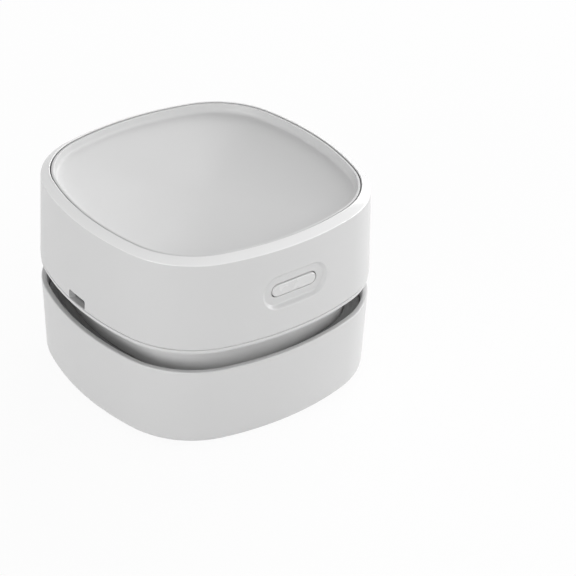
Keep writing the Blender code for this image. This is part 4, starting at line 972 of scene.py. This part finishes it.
class TopOperator(bpy.types.Operator):
    """Build the dished top cover with its thin upright edge"""

    bl_idname = "vacuum.top"
    bl_label = "Top cover"

    def execute(self, context):
        top = sizes("top")
        housing = sizes("housing")
        outer = housing.taper + housing.rim_width + 0.0002 + top.seam
        lip = RIM_TOP - top.step
        foot = lip - 0.0024
        inner = outer + top.edge + 0.0003
        under = foot - top.thickness
        parts = [0, 0.12, 0.25, 0.38, 0.50, 0.62, 0.74, 0.85, 0.94]
        stations = [ring(inner, under - top.depth * (1 - p * p), part=p) for p in parts]
        stations += [
            ring(inner, under),
            ring(outer, under, 0.0002),
            ring(outer, lip, 0.0002),
            ring(outer + top.edge, lip, 0.0002),
            ring(inner, foot + 0.0001, top.foot),
        ]
        stations += [ring(inner, foot - top.depth * (1 - p * p), part=p) for p in reversed(parts)]
        piece = sweep("top_cover_dish", stations, closed=False)
        dish = plastic("Top cover plastic", sizes("finishes").dish, 0.40, 0.20, coat=0.12)
        finished(piece, dish, "upper_unit", "grey_plastic", "top_cover")
        return {"FINISHED"}


class ButtonOperator(bpy.types.Operator):
    """Build the power button's cap"""

    bl_idname = "vacuum.button"
    bl_label = "Power button"

    def execute(self, context):
        button = sizes("button")
        back = high("power_button")[1]
        front = -face_reach(housing_lean(BUTTON_HEIGHT)) + button.recess_depth - button.proud
        flange = back - 0.001
        wide = 2 * 0.0016
        tiny = MERGE_DISTANCE
        piece = sweep("power_button_cap", [
            pill(button.length - button.width, tiny, front - button.crown),
            pill(button.length - button.width * 0.6, button.width * 0.4, front - button.crown * 0.8),
            pill(button.length - button.width * 0.3, button.width * 0.7, front - button.crown * 0.5),
            pill(button.length, button.width, front, button.edge),
            pill(button.length, button.width, flange),
            pill(button.length + wide, button.width + wide, flange, 0.0001),
            pill(button.length + wide, button.width + wide, back, 0.0001),
            pill(tiny, tiny / 2, back),
        ], closed=False)
        gloss = plastic("Button plastic", sizes("finishes").button, 0.26, 0.06, coat=0.5)
        finished(piece, gloss, "button", "white_gloss", "power_button")
        return {"FINISHED"}


class NeckOperator(bpy.types.Operator):
    """Build the neck with its air slots, seal flange and deck"""

    bl_idname = "vacuum.neck"
    bl_label = "Neck and deck"

    def execute(self, context):
        sized = sizes("neck")
        flange_low = low("fan_housing")[2]
        flange_top = flange_low + sized.flange
        deck_top = HOUSING_BOTTOM + sized.deck
        neck = sized.inset
        inner = neck + sized.wall
        flange = sizes("cup").wall + cup_lean(flange_low) + 0.0005
        stations = [
            ring(sized.deck_inset, HOUSING_BOTTOM, 0.0001),
            ring(sized.deck_inset, deck_top, 0.0001),
            hoop(sized.deck_bore, deck_top, 0.0001),
            hoop(sized.deck_bore, HOUSING_BOTTOM, 0.0001),
            ring(inner, HOUSING_BOTTOM),
            ring(inner, flange_low, FINE_EDGE),
            ring(flange, flange_low, SOFT_EDGE),
            ring(flange, flange_top, SOFT_EDGE),
            ring(neck, flange_top, SOFT_EDGE),
            ring(neck, flange_top + 0.004),
            ring(neck, HOUSING_BOTTOM, SOFT_EDGE),
        ]
        piece = sweep("neck_and_deck", stations)
        tools = []
        for quarter in range(4):
            for index in range(sized.slots):
                across = (index - (sized.slots - 1) / 2) * sized.slot_pitch
                near = face_reach(inner, across) - sized.wall
                far = sizes("body").width / 2
                height = HOUSING_BOTTOM - sized.slot_drop - sized.slot_height / 2
                deselect()
                bpy.ops.mesh.primitive_cube_add(
                    size=1, location=((near + far) / 2, across, height),
                    scale=(far - near, sized.slot_width, sized.slot_height))
                tool = bpy.context.object
                bpy.ops.object.transform_apply(location=True, rotation=True, scale=True)
                ends = tool.modifiers.new("ends", "BEVEL")
                ends.width = sized.slot_round
                ends.segments = 4
                bpy.ops.object.modifier_apply(modifier=ends.name)
                tool.data.transform(Matrix.Rotation(quarter * math.pi / 2, 4, "Z"))
                tools.append(tool)
        combine(piece, joined("slots", tools))
        piece = keep_fittings(piece)
        grey = plastic("Neck plastic", sizes("finishes").neck, 0.40, 0.2, mottle=0.04)
        finished(piece, grey, "upper_unit", "grey_plastic", "fan_housing")
        return {"FINISHED"}


def keep_fittings(piece):
    """Add the collar, saddles, stops and posts that stand on the deck."""
    deselect()
    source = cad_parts["fan_housing"]
    copy = bpy.data.objects.new("fittings", source.data.copy())
    bpy.context.scene.collection.objects.link(copy)
    copy.data.materials.clear()
    bpy.context.view_layer.objects.active = copy
    copy.select_set(True)
    bpy.ops.object.mode_set(mode="EDIT")
    bpy.ops.mesh.select_mode(type="VERT")
    bpy.ops.mesh.select_all(action="SELECT")
    bpy.ops.mesh.remove_doubles(threshold=MERGE_DISTANCE)
    deck_top = HOUSING_BOTTOM + sizes("neck").deck
    bpy.ops.mesh.bisect(
        plane_co=(0, 0, deck_top + 0.00002), plane_no=(0, 0, 1), use_fill=True, clear_inner=True)
    bpy.ops.object.mode_set(mode="OBJECT")
    return joined(piece.name, [piece, copy])


class CoverOperator(bpy.types.Operator):
    """Build the fan cover with its inlet throat and filter socket"""

    bl_idname = "vacuum.cover"
    bl_label = "Fan cover"

    def execute(self, context):
        cover = sizes("fan_cover")
        top = low("fan_housing")[2] - SOFT_EDGE
        bottom = top - cover.plate
        edge = sizes("cup").wall + sizes("cup").ledge + cover.margin
        throat = cover.throat
        throat_top = top + cover.throat_height
        socket = cover.socket
        socket_low = low("fan_cover")[2]
        piece = sweep("fan_cover_plate", [
            ring(edge, bottom, SOFT_EDGE),
            ring(edge, top, SOFT_EDGE),
            hoop(throat + cover.throat_wall, top, SOFT_EDGE),
            hoop(throat + cover.throat_wall, throat_top, SOFT_EDGE),
            hoop(throat, throat_top, SOFT_EDGE),
            hoop(throat, top - 0.0002, SOFT_EDGE),
            hoop(throat + cover.socket_wall, bottom, ROUND_EDGE),
            hoop(socket, bottom, FINE_EDGE),
            hoop(socket, socket_low, FINE_EDGE),
            hoop(socket + cover.socket_wall, socket_low, FINE_EDGE),
            hoop(socket + cover.socket_wall, bottom, ROUND_EDGE),
        ])
        grey = plastic("Inner plastic", sizes("finishes").inner, 0.42, 0.25, mottle=0.04)
        finished(piece, grey, "upper_unit", "grey_plastic", "fan_cover")
        return {"FINISHED"}


class SealOperator(bpy.types.Operator):
    """Build the soft seal on the flange"""

    bl_idname = "vacuum.seal"
    bl_label = "Neck seal"

    def execute(self, context):
        bottom, top = low("neck_seal")[2], high("neck_seal")[2]
        inner = sizes("neck").inset - SOFT_EDGE
        outer = sizes("body").width / 2 - high("neck_seal")[0]
        middle = (inner + outer) / 2
        piece = sweep("neck_seal_ring", [
            ring(inner, bottom, FINE_EDGE),
            ring(inner, top, SOFT_EDGE),
            ring(middle + 0.0006, top - 0.0002),
            ring(middle, top - 0.0006, ROUND_EDGE),
            ring(middle - 0.0006, top - 0.0002),
            ring(outer, top, FINE_EDGE),
            ring(outer, bottom + 0.0006, SOFT_EDGE),
            ring(outer + 0.0006, bottom, FINE_EDGE),
        ])
        soft = rubber("Seal rubber", sizes("finishes").seal)
        finished(piece, soft, "upper_unit", "dark_rubber", "neck_seal")
        return {"FINISHED"}


class FeetOperator(bpy.types.Operator):
    """Build the four rubber feet"""

    bl_idname = "vacuum.feet"
    bl_label = "Rubber feet"

    def execute(self, context):
        sized = sizes("foot")
        top = high("foot_front_left")[2]
        foot = sweep("foot", [
            circle(MERGE_DISTANCE / 2, sized.hollow, steps=SMALL_STEPS),
            circle(sized.dimple, sized.hollow, 0.00005, SMALL_STEPS),
            circle(sized.dimple + FINE_EDGE, 0, 0.00005, SMALL_STEPS),
            circle(sized.radius - FINE_EDGE, 0, FINE_EDGE, SMALL_STEPS),
            circle(sized.radius, top, 0.0001, SMALL_STEPS),
            circle(MERGE_DISTANCE / 2, top, steps=SMALL_STEPS),
        ], closed=False)
        black = rubber("Foot rubber", sizes("finishes").rubber)
        for name in ("front_left", "front_right", "back_right", "back_left"):
            node_name = "foot_" + name
            piece = copied(foot, f"foot_pad_{name}", Matrix.Translation(middle_of(node_name, 0)))
            finished(piece, black, "base", "dark_rubber", node_name)
        bpy.data.objects.remove(foot)
        return {"FINISHED"}


def middle_of(name, height=None):
    """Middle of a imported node's box, at its own height or a given one."""
    first, last = low(name), high(name)
    middle = [(a + b) / 2 for a, b in zip(first, last)]
    if height is not None:
        middle[2] = height
    return Vector(middle)


def copied(source, name, *matrices):
    """One object of copies of a source mesh, each at its own place."""
    bm = bmesh.new()
    for matrix in matrices:
        mesh = source.data.copy()
        mesh.transform(matrix)
        bm.from_mesh(mesh)
        bpy.data.meshes.remove(mesh)
    mesh = bpy.data.meshes.new(name)
    bm.to_mesh(mesh)
    bm.free()
    piece = bpy.data.objects.new(name, mesh)
    bpy.context.scene.collection.objects.link(piece)
    return piece


class BrushOperator(bpy.types.Operator):
    """Build the four arcs of bristles round the intake"""

    bl_idname = "vacuum.brush"
    bl_label = "Brush arcs"

    def execute(self, context):
        brush = sizes("brush")
        backing_top = high("brush_front")[2]
        backing_low = backing_top - 0.0008
        strand = make_strand(backing_low)
        nylon = fibre_material()
        picks = random.Random(7)
        span = math.pi / 2 - 0.0012 / brush.radius
        for index, name in enumerate(("right", "back", "left", "front")):
            middle = index * math.pi / 2
            backing = make_backing(brush, middle, span, backing_low, backing_top)
            places = []
            for row in range(brush.rows):
                radius = brush.radius + brush.width * ((row + 0.5) / brush.rows - 0.5)
                for step in range(brush.strands):
                    angle = middle + span * ((step + 0.25 + 0.5 * (row % 2)) / brush.strands - 0.5)
                    lean = Matrix.Rotation(picks.uniform(-0.05, 0.05), 4, "X")
                    spin = Matrix.Rotation(picks.uniform(0, math.tau), 4, "Z")
                    across, along = radius * math.cos(angle), radius * math.sin(angle)
                    place = Vector((across, along, backing_low + 0.0001))
                    places.append(Matrix.Translation(place) @ spin @ lean)
            strands = copied(strand, "strands", *places)
            piece = joined(f"brush_arc_{name}", [backing, strands])
            finished(piece, nylon, "base", "dark_nylon", "brush_" + name)
        bpy.data.objects.remove(strand)
        return {"FINISHED"}


def make_strand(backing_low):
    """One tapered bristle that hangs down from its root."""
    tall = backing_low - 0.00015
    deselect()
    bpy.ops.mesh.primitive_cone_add(
        vertices=6, radius1=0.00010, radius2=0.00016, depth=tall, location=(0, 0, -tall / 2))
    strand = bpy.context.object
    bpy.ops.object.transform_apply(location=True, rotation=True, scale=True)
    bpy.ops.object.shade_smooth_by_angle(angle=math.radians(65))
    return strand


def make_backing(brush, middle, span, bottom, top):
    """The strip that holds one arc of bristles, spun from its section."""
    deselect()
    start = middle - span / 2
    bpy.ops.mesh.primitive_plane_add(size=1, location=(brush.radius, 0, (bottom + top) / 2),
                                     rotation=(math.pi / 2, 0, 0))
    strip = bpy.context.object
    strip.scale = (brush.width, top - bottom, 1)
    bpy.ops.object.transform_apply(location=True, rotation=True, scale=True)
    strip.data.transform(Matrix.Rotation(start, 4, "Z"))
    bpy.ops.object.mode_set(mode="EDIT")
    bpy.ops.mesh.select_all(action="SELECT")
    bpy.ops.mesh.spin(steps=SMALL_STEPS, angle=-span, center=(0, 0, 0), axis=(0, 0, 1))
    tidy_faces()
    bpy.ops.object.mode_set(mode="OBJECT")
    bpy.ops.object.shade_smooth_by_angle(angle=SHARP_ANGLE)
    return strip


class FilterOperator(bpy.types.Operator):
    """Build the filter frame with its spokes, the net and the foam"""

    bl_idname = "vacuum.filter"
    bl_label = "Filter"

    def execute(self, context):
        sized = sizes("filter")
        bottom, top = low("filter_frame")[2], high("filter_frame")[2]
        lip = high("filter_frame")[0]
        wall = lip - sized.lip
        bore = wall - sized.wall
        frame_ring = sweep("filter_frame_ring", [
            circle(bore, bottom, SOFT_EDGE),
            circle(lip, bottom, ROUND_EDGE),
            circle(lip, bottom + sized.lip_height, ROUND_EDGE),
            circle(wall, bottom + sized.lip_height, SOFT_EDGE),
            circle(wall, top, SOFT_EDGE),
            circle(bore, top, SOFT_EDGE),
        ])
        rib_top = bottom + sized.rib_height
        hole = sized.eye - sized.eye_wall
        eye = sweep("eye", [
            circle(hole, bottom, FINE_EDGE), circle(sized.eye, bottom, FINE_EDGE),
            circle(sized.eye, rib_top, FINE_EDGE), circle(hole, rib_top, FINE_EDGE),
        ])
        spokes = []
        for index in range(sized.ribs):
            deselect()
            bpy.ops.mesh.primitive_cube_add(
                size=1, location=((bore + sized.eye) / 2, 0, (bottom + rib_top) / 2),
                scale=(bore - sized.eye + 0.001, sized.rib_width, rib_top - bottom - 0.00004))
            spoke = context.object
            bpy.ops.object.transform_apply(location=True, rotation=True, scale=True)
            rounds = spoke.modifiers.new("rounds", "BEVEL")
            rounds.width = 0.00025
            rounds.segments = 3
            bpy.ops.object.modifier_apply(modifier=rounds.name)
            spoke.data.transform(Matrix.Rotation(index * math.tau / sized.ribs, 4, "Z"))
            spokes.append(spoke)
        piece = joined("filter_frame_ring", [frame_ring, eye, *spokes])
        grey = plastic("Inner plastic", sizes("finishes").inner, 0.42, 0.25, mottle=0.04)
        finished(piece, grey, "filter", "grey_plastic", "filter_frame")
        net = layer("filter_net_disc", "filter_net")
        finished(net, net_material(), "filter", "pale_net", "filter_net")
        foam = layer("filter_foam_disc", "filter_foam")
        finished(foam, foam_material(), "filter", "dark_foam", "filter_foam")
        return {"FINISHED"}


def layer(name, node_name):
    """A round filter layer, flat on both faces, with rounded edges."""
    bottom, top, radius = low(node_name)[2], high(node_name)[2], high(node_name)[0]
    centre = MERGE_DISTANCE / 2
    parts = (0.25, 0.5, 0.75, 0.92)
    stations = [circle(centre, bottom)] + [circle(radius * p, bottom) for p in parts]
    stations += [circle(radius, bottom + 0.0001, 0.0001), circle(radius, top - 0.0001, 0.0001)]
    stations += [circle(radius * p, top) for p in reversed(parts)] + [circle(centre, top)]
    return sweep(name, stations, closed=False)


class ScrewOperator(bpy.types.Operator):
    """Build one pan-head screw with a cross drive and copy it to each place"""

    bl_idname = "vacuum.screws"
    bl_label = "Screws"

    def execute(self, context):
        steel = metal("Screw steel", (0.42, 0.42, 0.41), 0.3, 1800.0)
        sized = sizes("screw")
        screws = {size: make_screw(size) for size in (sized.long, sized.short)}
        groups = (
            ("cover_screw", 4, sized.long, 0, "Z"),
            ("deck_screw", 4, sized.long, 0, "Z"),
            ("motor_screw", 2, sized.short, 0, "Z"),
            ("charge_board_screw", 2, sized.short, math.pi, "X"),
            ("switch_board_screw", 2, sized.short, -math.pi / 2, "X"),
        )
        for name, count, size, tilt, axis in groups:
            turn = Matrix.Rotation(tilt, 4, axis)
            for number in range(1, count + 1):
                node_name = f"{name}_{number}"
                centre = turn @ Vector((0, 0, (size - sized.head_height) / 2))
                place = Matrix.Translation(middle_of(node_name) - centre)
                drive = Matrix.Rotation(number * 0.7, 4, "Z")
                piece = copied(screws[size], f"{name}_head_{number}", place @ turn @ drive)
                finished(piece, steel, "upper_unit", "bright_steel", node_name)
        for screw in screws.values():
            bpy.data.objects.remove(screw)
        return {"FINISHED"}


def make_screw(size):
    """A pan-head screw, tip up, its head's underside at nought."""
    sized = sizes("screw")
    head, top, core = sized.head, sized.head_height, sized.core
    stations = [
        circle(MERGE_DISTANCE / 2, -top, steps=SMALL_STEPS),
        circle(0.0012, -0.00118, steps=SMALL_STEPS),
        circle(0.0017, -0.0009, 0.0002, SMALL_STEPS),
        circle(head, -FINE_EDGE, 0.0001, SMALL_STEPS),
        circle(head, 0, 0.0001, SMALL_STEPS),
        circle(core, 0, steps=SMALL_STEPS),
    ]
    turns = int(size / sized.pitch)
    for index in range(turns):
        height = size * (index + 0.5) / (turns + 1)
        stations.append(circle(core, height, steps=SMALL_STEPS))
        stations.append(circle(sized.thread, height + FINE_EDGE, steps=SMALL_STEPS))
        stations.append(circle(core, height + ROUND_EDGE, steps=SMALL_STEPS))
    stations.append(circle(MERGE_DISTANCE / 2, size, steps=SMALL_STEPS))
    screw = sweep("screw", stations, closed=False)
    arms = []
    for angle in (0, math.pi / 2):
        deselect()
        bpy.ops.mesh.primitive_cube_add(
            size=1, location=(0, 0, -top),
            scale=(sized.drive_length, sized.drive_width, top + FINE_EDGE))
        arm = bpy.context.object
        bpy.ops.object.transform_apply(location=True, rotation=True, scale=True)
        for vert in arm.data.vertices:
            if vert.co.z > -top:
                vert.co.x *= 0.5
        arm.data.transform(Matrix.Rotation(angle, 4, "Z"))
        arms.append(arm)
    for arm in arms:
        combine(screw, arm)
    return screw


class InnerOperator(bpy.types.Operator):
    """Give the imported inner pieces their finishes"""

    bl_idname = "vacuum.inner"
    bl_label = "Inner pieces"

    def execute(self, context):
        finishes = sizes("finishes")
        black = plastic("Black plastic", finishes.black, 0.38, 0.2, mottle=0.06)
        steel = metal("Can steel", (0.52, 0.52, 0.50), 0.28, 900.0)
        board = board_material()
        groups = (
            (black, ("impeller", "motor_end_cap", "usb_tongue", "switch_body")),
            (rubber("Plunger rubber", finishes.rubber), ("switch_plunger",)),
            (steel, ("motor_can", "motor_shaft", "battery_tab_negative", "battery_tab_positive")),
            (metal("Socket steel", (0.45, 0.45, 0.45), 0.34, 2600.0), ("usb_socket",)),
            (metal("Bearing bronze", (0.45, 0.28, 0.12), 0.4, 3000.0), ("motor_bearing",)),
            (metal("Lug brass", (0.62, 0.46, 0.2), 0.3, 1500.0),
             ("motor_terminal_left", "motor_terminal_right")),
            (plastic("Cell sleeve", (0.03, 0.16, 0.40), 0.3, 0.1, mottle=0.05, coat=0.4),
             ("battery_cell",)),
            (board, ("charge_board", "switch_board")),
        )
        for material, names in groups:
            for name in names:
                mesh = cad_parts[name].data
                mesh.materials.clear()
                mesh.materials.append(material)
        return {"FINISHED"}


# The stage

class StageOperator(bpy.types.Operator):
    """Set up the floor, the lamps, the world and the camera"""

    bl_idname = "vacuum.stage"
    bl_label = "Stage"

    def execute(self, context):
        scene = context.scene
        scene.view_settings.view_transform = "Standard"
        deselect()
        bpy.ops.mesh.primitive_plane_add(size=8, location=(0, 0, 0))
        floor = context.object
        floor.name = "floor"
        floor.data.materials.append(floor_material())
        make_world(scene)
        for lamp in LAMPS:
            add_lamp(*lamp)
        add_camera(scene)
        return {"FINISHED"}


LAMPS = (
    ("back_lamp", (1.00, 0.55, 0.70), (0, 0, 0.04), 1.0, 7.5),
    ("left_lamp", (-1.15, -0.35, 0.20), (0, 0, 0.04), 0.8, 9.6),
    ("right_lamp", (0.75, -0.95, 0.50), (0, 0, 0.04), 0.8, 4.4),
    ("front_lamp", (-0.65, -0.95, 0.45), (0, 0, 0.04), 0.8, 1.0),
    ("low_lamp", (1.15, -0.35, 0.15), (0, 0, 0.04), 0.8, 9.8),
)


def floor_material():
    """Pale floor that the camera sees as white with a soft shadow."""
    material, tree, shader = new_material("Pale floor")
    place = node(tree, "TexCoord").outputs["Object"]
    cloud = spread(tree, noise(tree, place, 3.0, 3.0), 0.3, 0.7, 0.86, 0.90)
    tint = node(tree, "CombineColor", {0: cloud, 1: cloud, 2: cloud})
    tree.links.new(tint.outputs[0], shader.inputs["Base Color"])
    shader.inputs["Roughness"].default_value = 0.9
    white = node(tree, "Emission", {"Color": (1, 1, 1, 1), "Strength": 1.0})
    rays = node(tree, "LightPath")
    plain = maths(tree, "MAXIMUM", rays.outputs["Is Camera Ray"], rays.outputs["Is Glossy Ray"])
    seen = maths(tree, "MULTIPLY", plain, 0.93)
    mix = node(tree, "MixShader", {0: seen, 1: shader.outputs[0], 2: white.outputs[0]})
    tree.links.new(mix.outputs[0], tree.nodes["Material Output"].inputs["Surface"])
    return material


def make_world(scene):
    """Even pale surroundings, white where the camera sees them."""
    world = scene.world or bpy.data.worlds.new("World")
    scene.world = world
    world.use_nodes = True
    tree = world.node_tree
    back = tree.nodes["Background"]
    back.inputs["Color"].default_value = (1, 1, 1, 1)
    rays = node(tree, "LightPath")
    plain = maths(tree, "MAXIMUM", rays.outputs["Is Camera Ray"], rays.outputs["Is Glossy Ray"])
    seen = maths(tree, "MAXIMUM", plain, 0.40)
    tree.links.new(seen, back.inputs["Strength"])


def add_lamp(name, place, target, size, power):
    """A square soft lamp turned to its target."""
    deselect()
    bpy.ops.object.light_add(type="AREA", location=place)
    lamp = bpy.context.object
    lamp.name = name
    lamp.data.size = size
    lamp.data.energy = power
    lamp.rotation_euler = (Vector(target) - Vector(place)).to_track_quat("-Z", "Y").to_euler()


def add_camera(scene):
    """The camera at the photograph's angle."""
    view = sizes("stage")
    turn, lift, roll = view.azimuth, view.elevation, view.roll
    back = Vector((math.sin(turn) * math.cos(lift), -math.cos(turn) * math.cos(lift), math.sin(lift)))
    ahead = -back
    right = ahead.cross(Vector((0, 0, 1))).normalized()
    up = right.cross(ahead)
    right, up = (right * math.cos(roll) + up * math.sin(roll), up * math.cos(roll) - right * math.sin(roll))
    place = Vector((0, 0, view.target)) + back * view.distance
    yaw = math.atan2(-view.aside, view.focal)
    pitch = math.atan2(view.above, view.focal)
    first = ahead * math.cos(yaw) - right * math.sin(yaw)
    side = right * math.cos(yaw) + ahead * math.sin(yaw)
    gaze = first * math.cos(pitch) - up * math.sin(pitch)
    crown = up * math.cos(pitch) + first * math.sin(pitch)
    deselect()
    bpy.ops.object.camera_add(location=place)
    camera = bpy.context.object
    camera.name = "photo_camera"
    axes = Matrix((side, crown, -gaze)).transposed()
    camera.rotation_euler = axes.to_euler()
    camera.data.sensor_width = 36
    camera.data.lens = view.focal * camera.data.sensor_width
    camera.data.clip_start = 0.01
    scene.camera = camera


class VacuumPanel(bpy.types.Panel):
    """Sizes, colours and steps of the desktop mini vacuum cleaner"""

    bl_idname = "VIEW3D_PT_desk_vacuum"
    bl_label = "Desk vacuum"
    bl_space_type = "VIEW_3D"
    bl_region_type = "UI"
    bl_category = "Desk vacuum"

    def draw(self, context):
        for name, group in GROUPS.items():
            box = self.layout.box()
            box.label(text=name.replace("_", " ").capitalize())
            for key in group.__annotations__:
                box.prop(sizes(name), key)
        for step in STEPS:
            self.layout.operator(step.bl_idname)


GROUPS = {
    "body": BodySizes,
    "cup": CupSizes,
    "housing": HousingSizes,
    "button": ButtonSizes,
    "top": TopSizes,
    "intake": IntakeSizes,
    "neck": NeckSizes,
    "fan_cover": FanCoverSizes,
    "filter": FilterSizes,
    "foot": FootSizes,
    "screw": ScrewSizes,
    "brush": BrushSizes,
    "finishes": Finishes,
    "stage": StageView,
}
STEPS = (
    StageOperator, CupOperator, FeetOperator, BrushOperator, FilterOperator, CoverOperator,
    NeckOperator, SealOperator, InnerOperator, ScrewOperator, HousingOperator, TopOperator,
    ButtonOperator,
)


def register():
    """Register every class and give the scene its property groups."""
    for name, group in GROUPS.items():
        bpy.utils.register_class(group)
        setattr(bpy.types.Scene, "vacuum_" + name, bpy.props.PointerProperty(type=group))
    for step in STEPS:
        bpy.utils.register_class(step)
    bpy.utils.register_class(VacuumPanel)


def unregister():
    """Take back what register gave."""
    bpy.utils.unregister_class(VacuumPanel)
    for step in reversed(STEPS):
        bpy.utils.unregister_class(step)
    for name, group in reversed(GROUPS.items()):
        delattr(bpy.types.Scene, "vacuum_" + name)
        bpy.utils.unregister_class(group)


def main():
    """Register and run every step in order."""
    register()
    for step in STEPS:
        section, name = step.bl_idname.split(".")
        getattr(getattr(bpy.ops, section), name)()


if __name__ == "__main__":
    main()
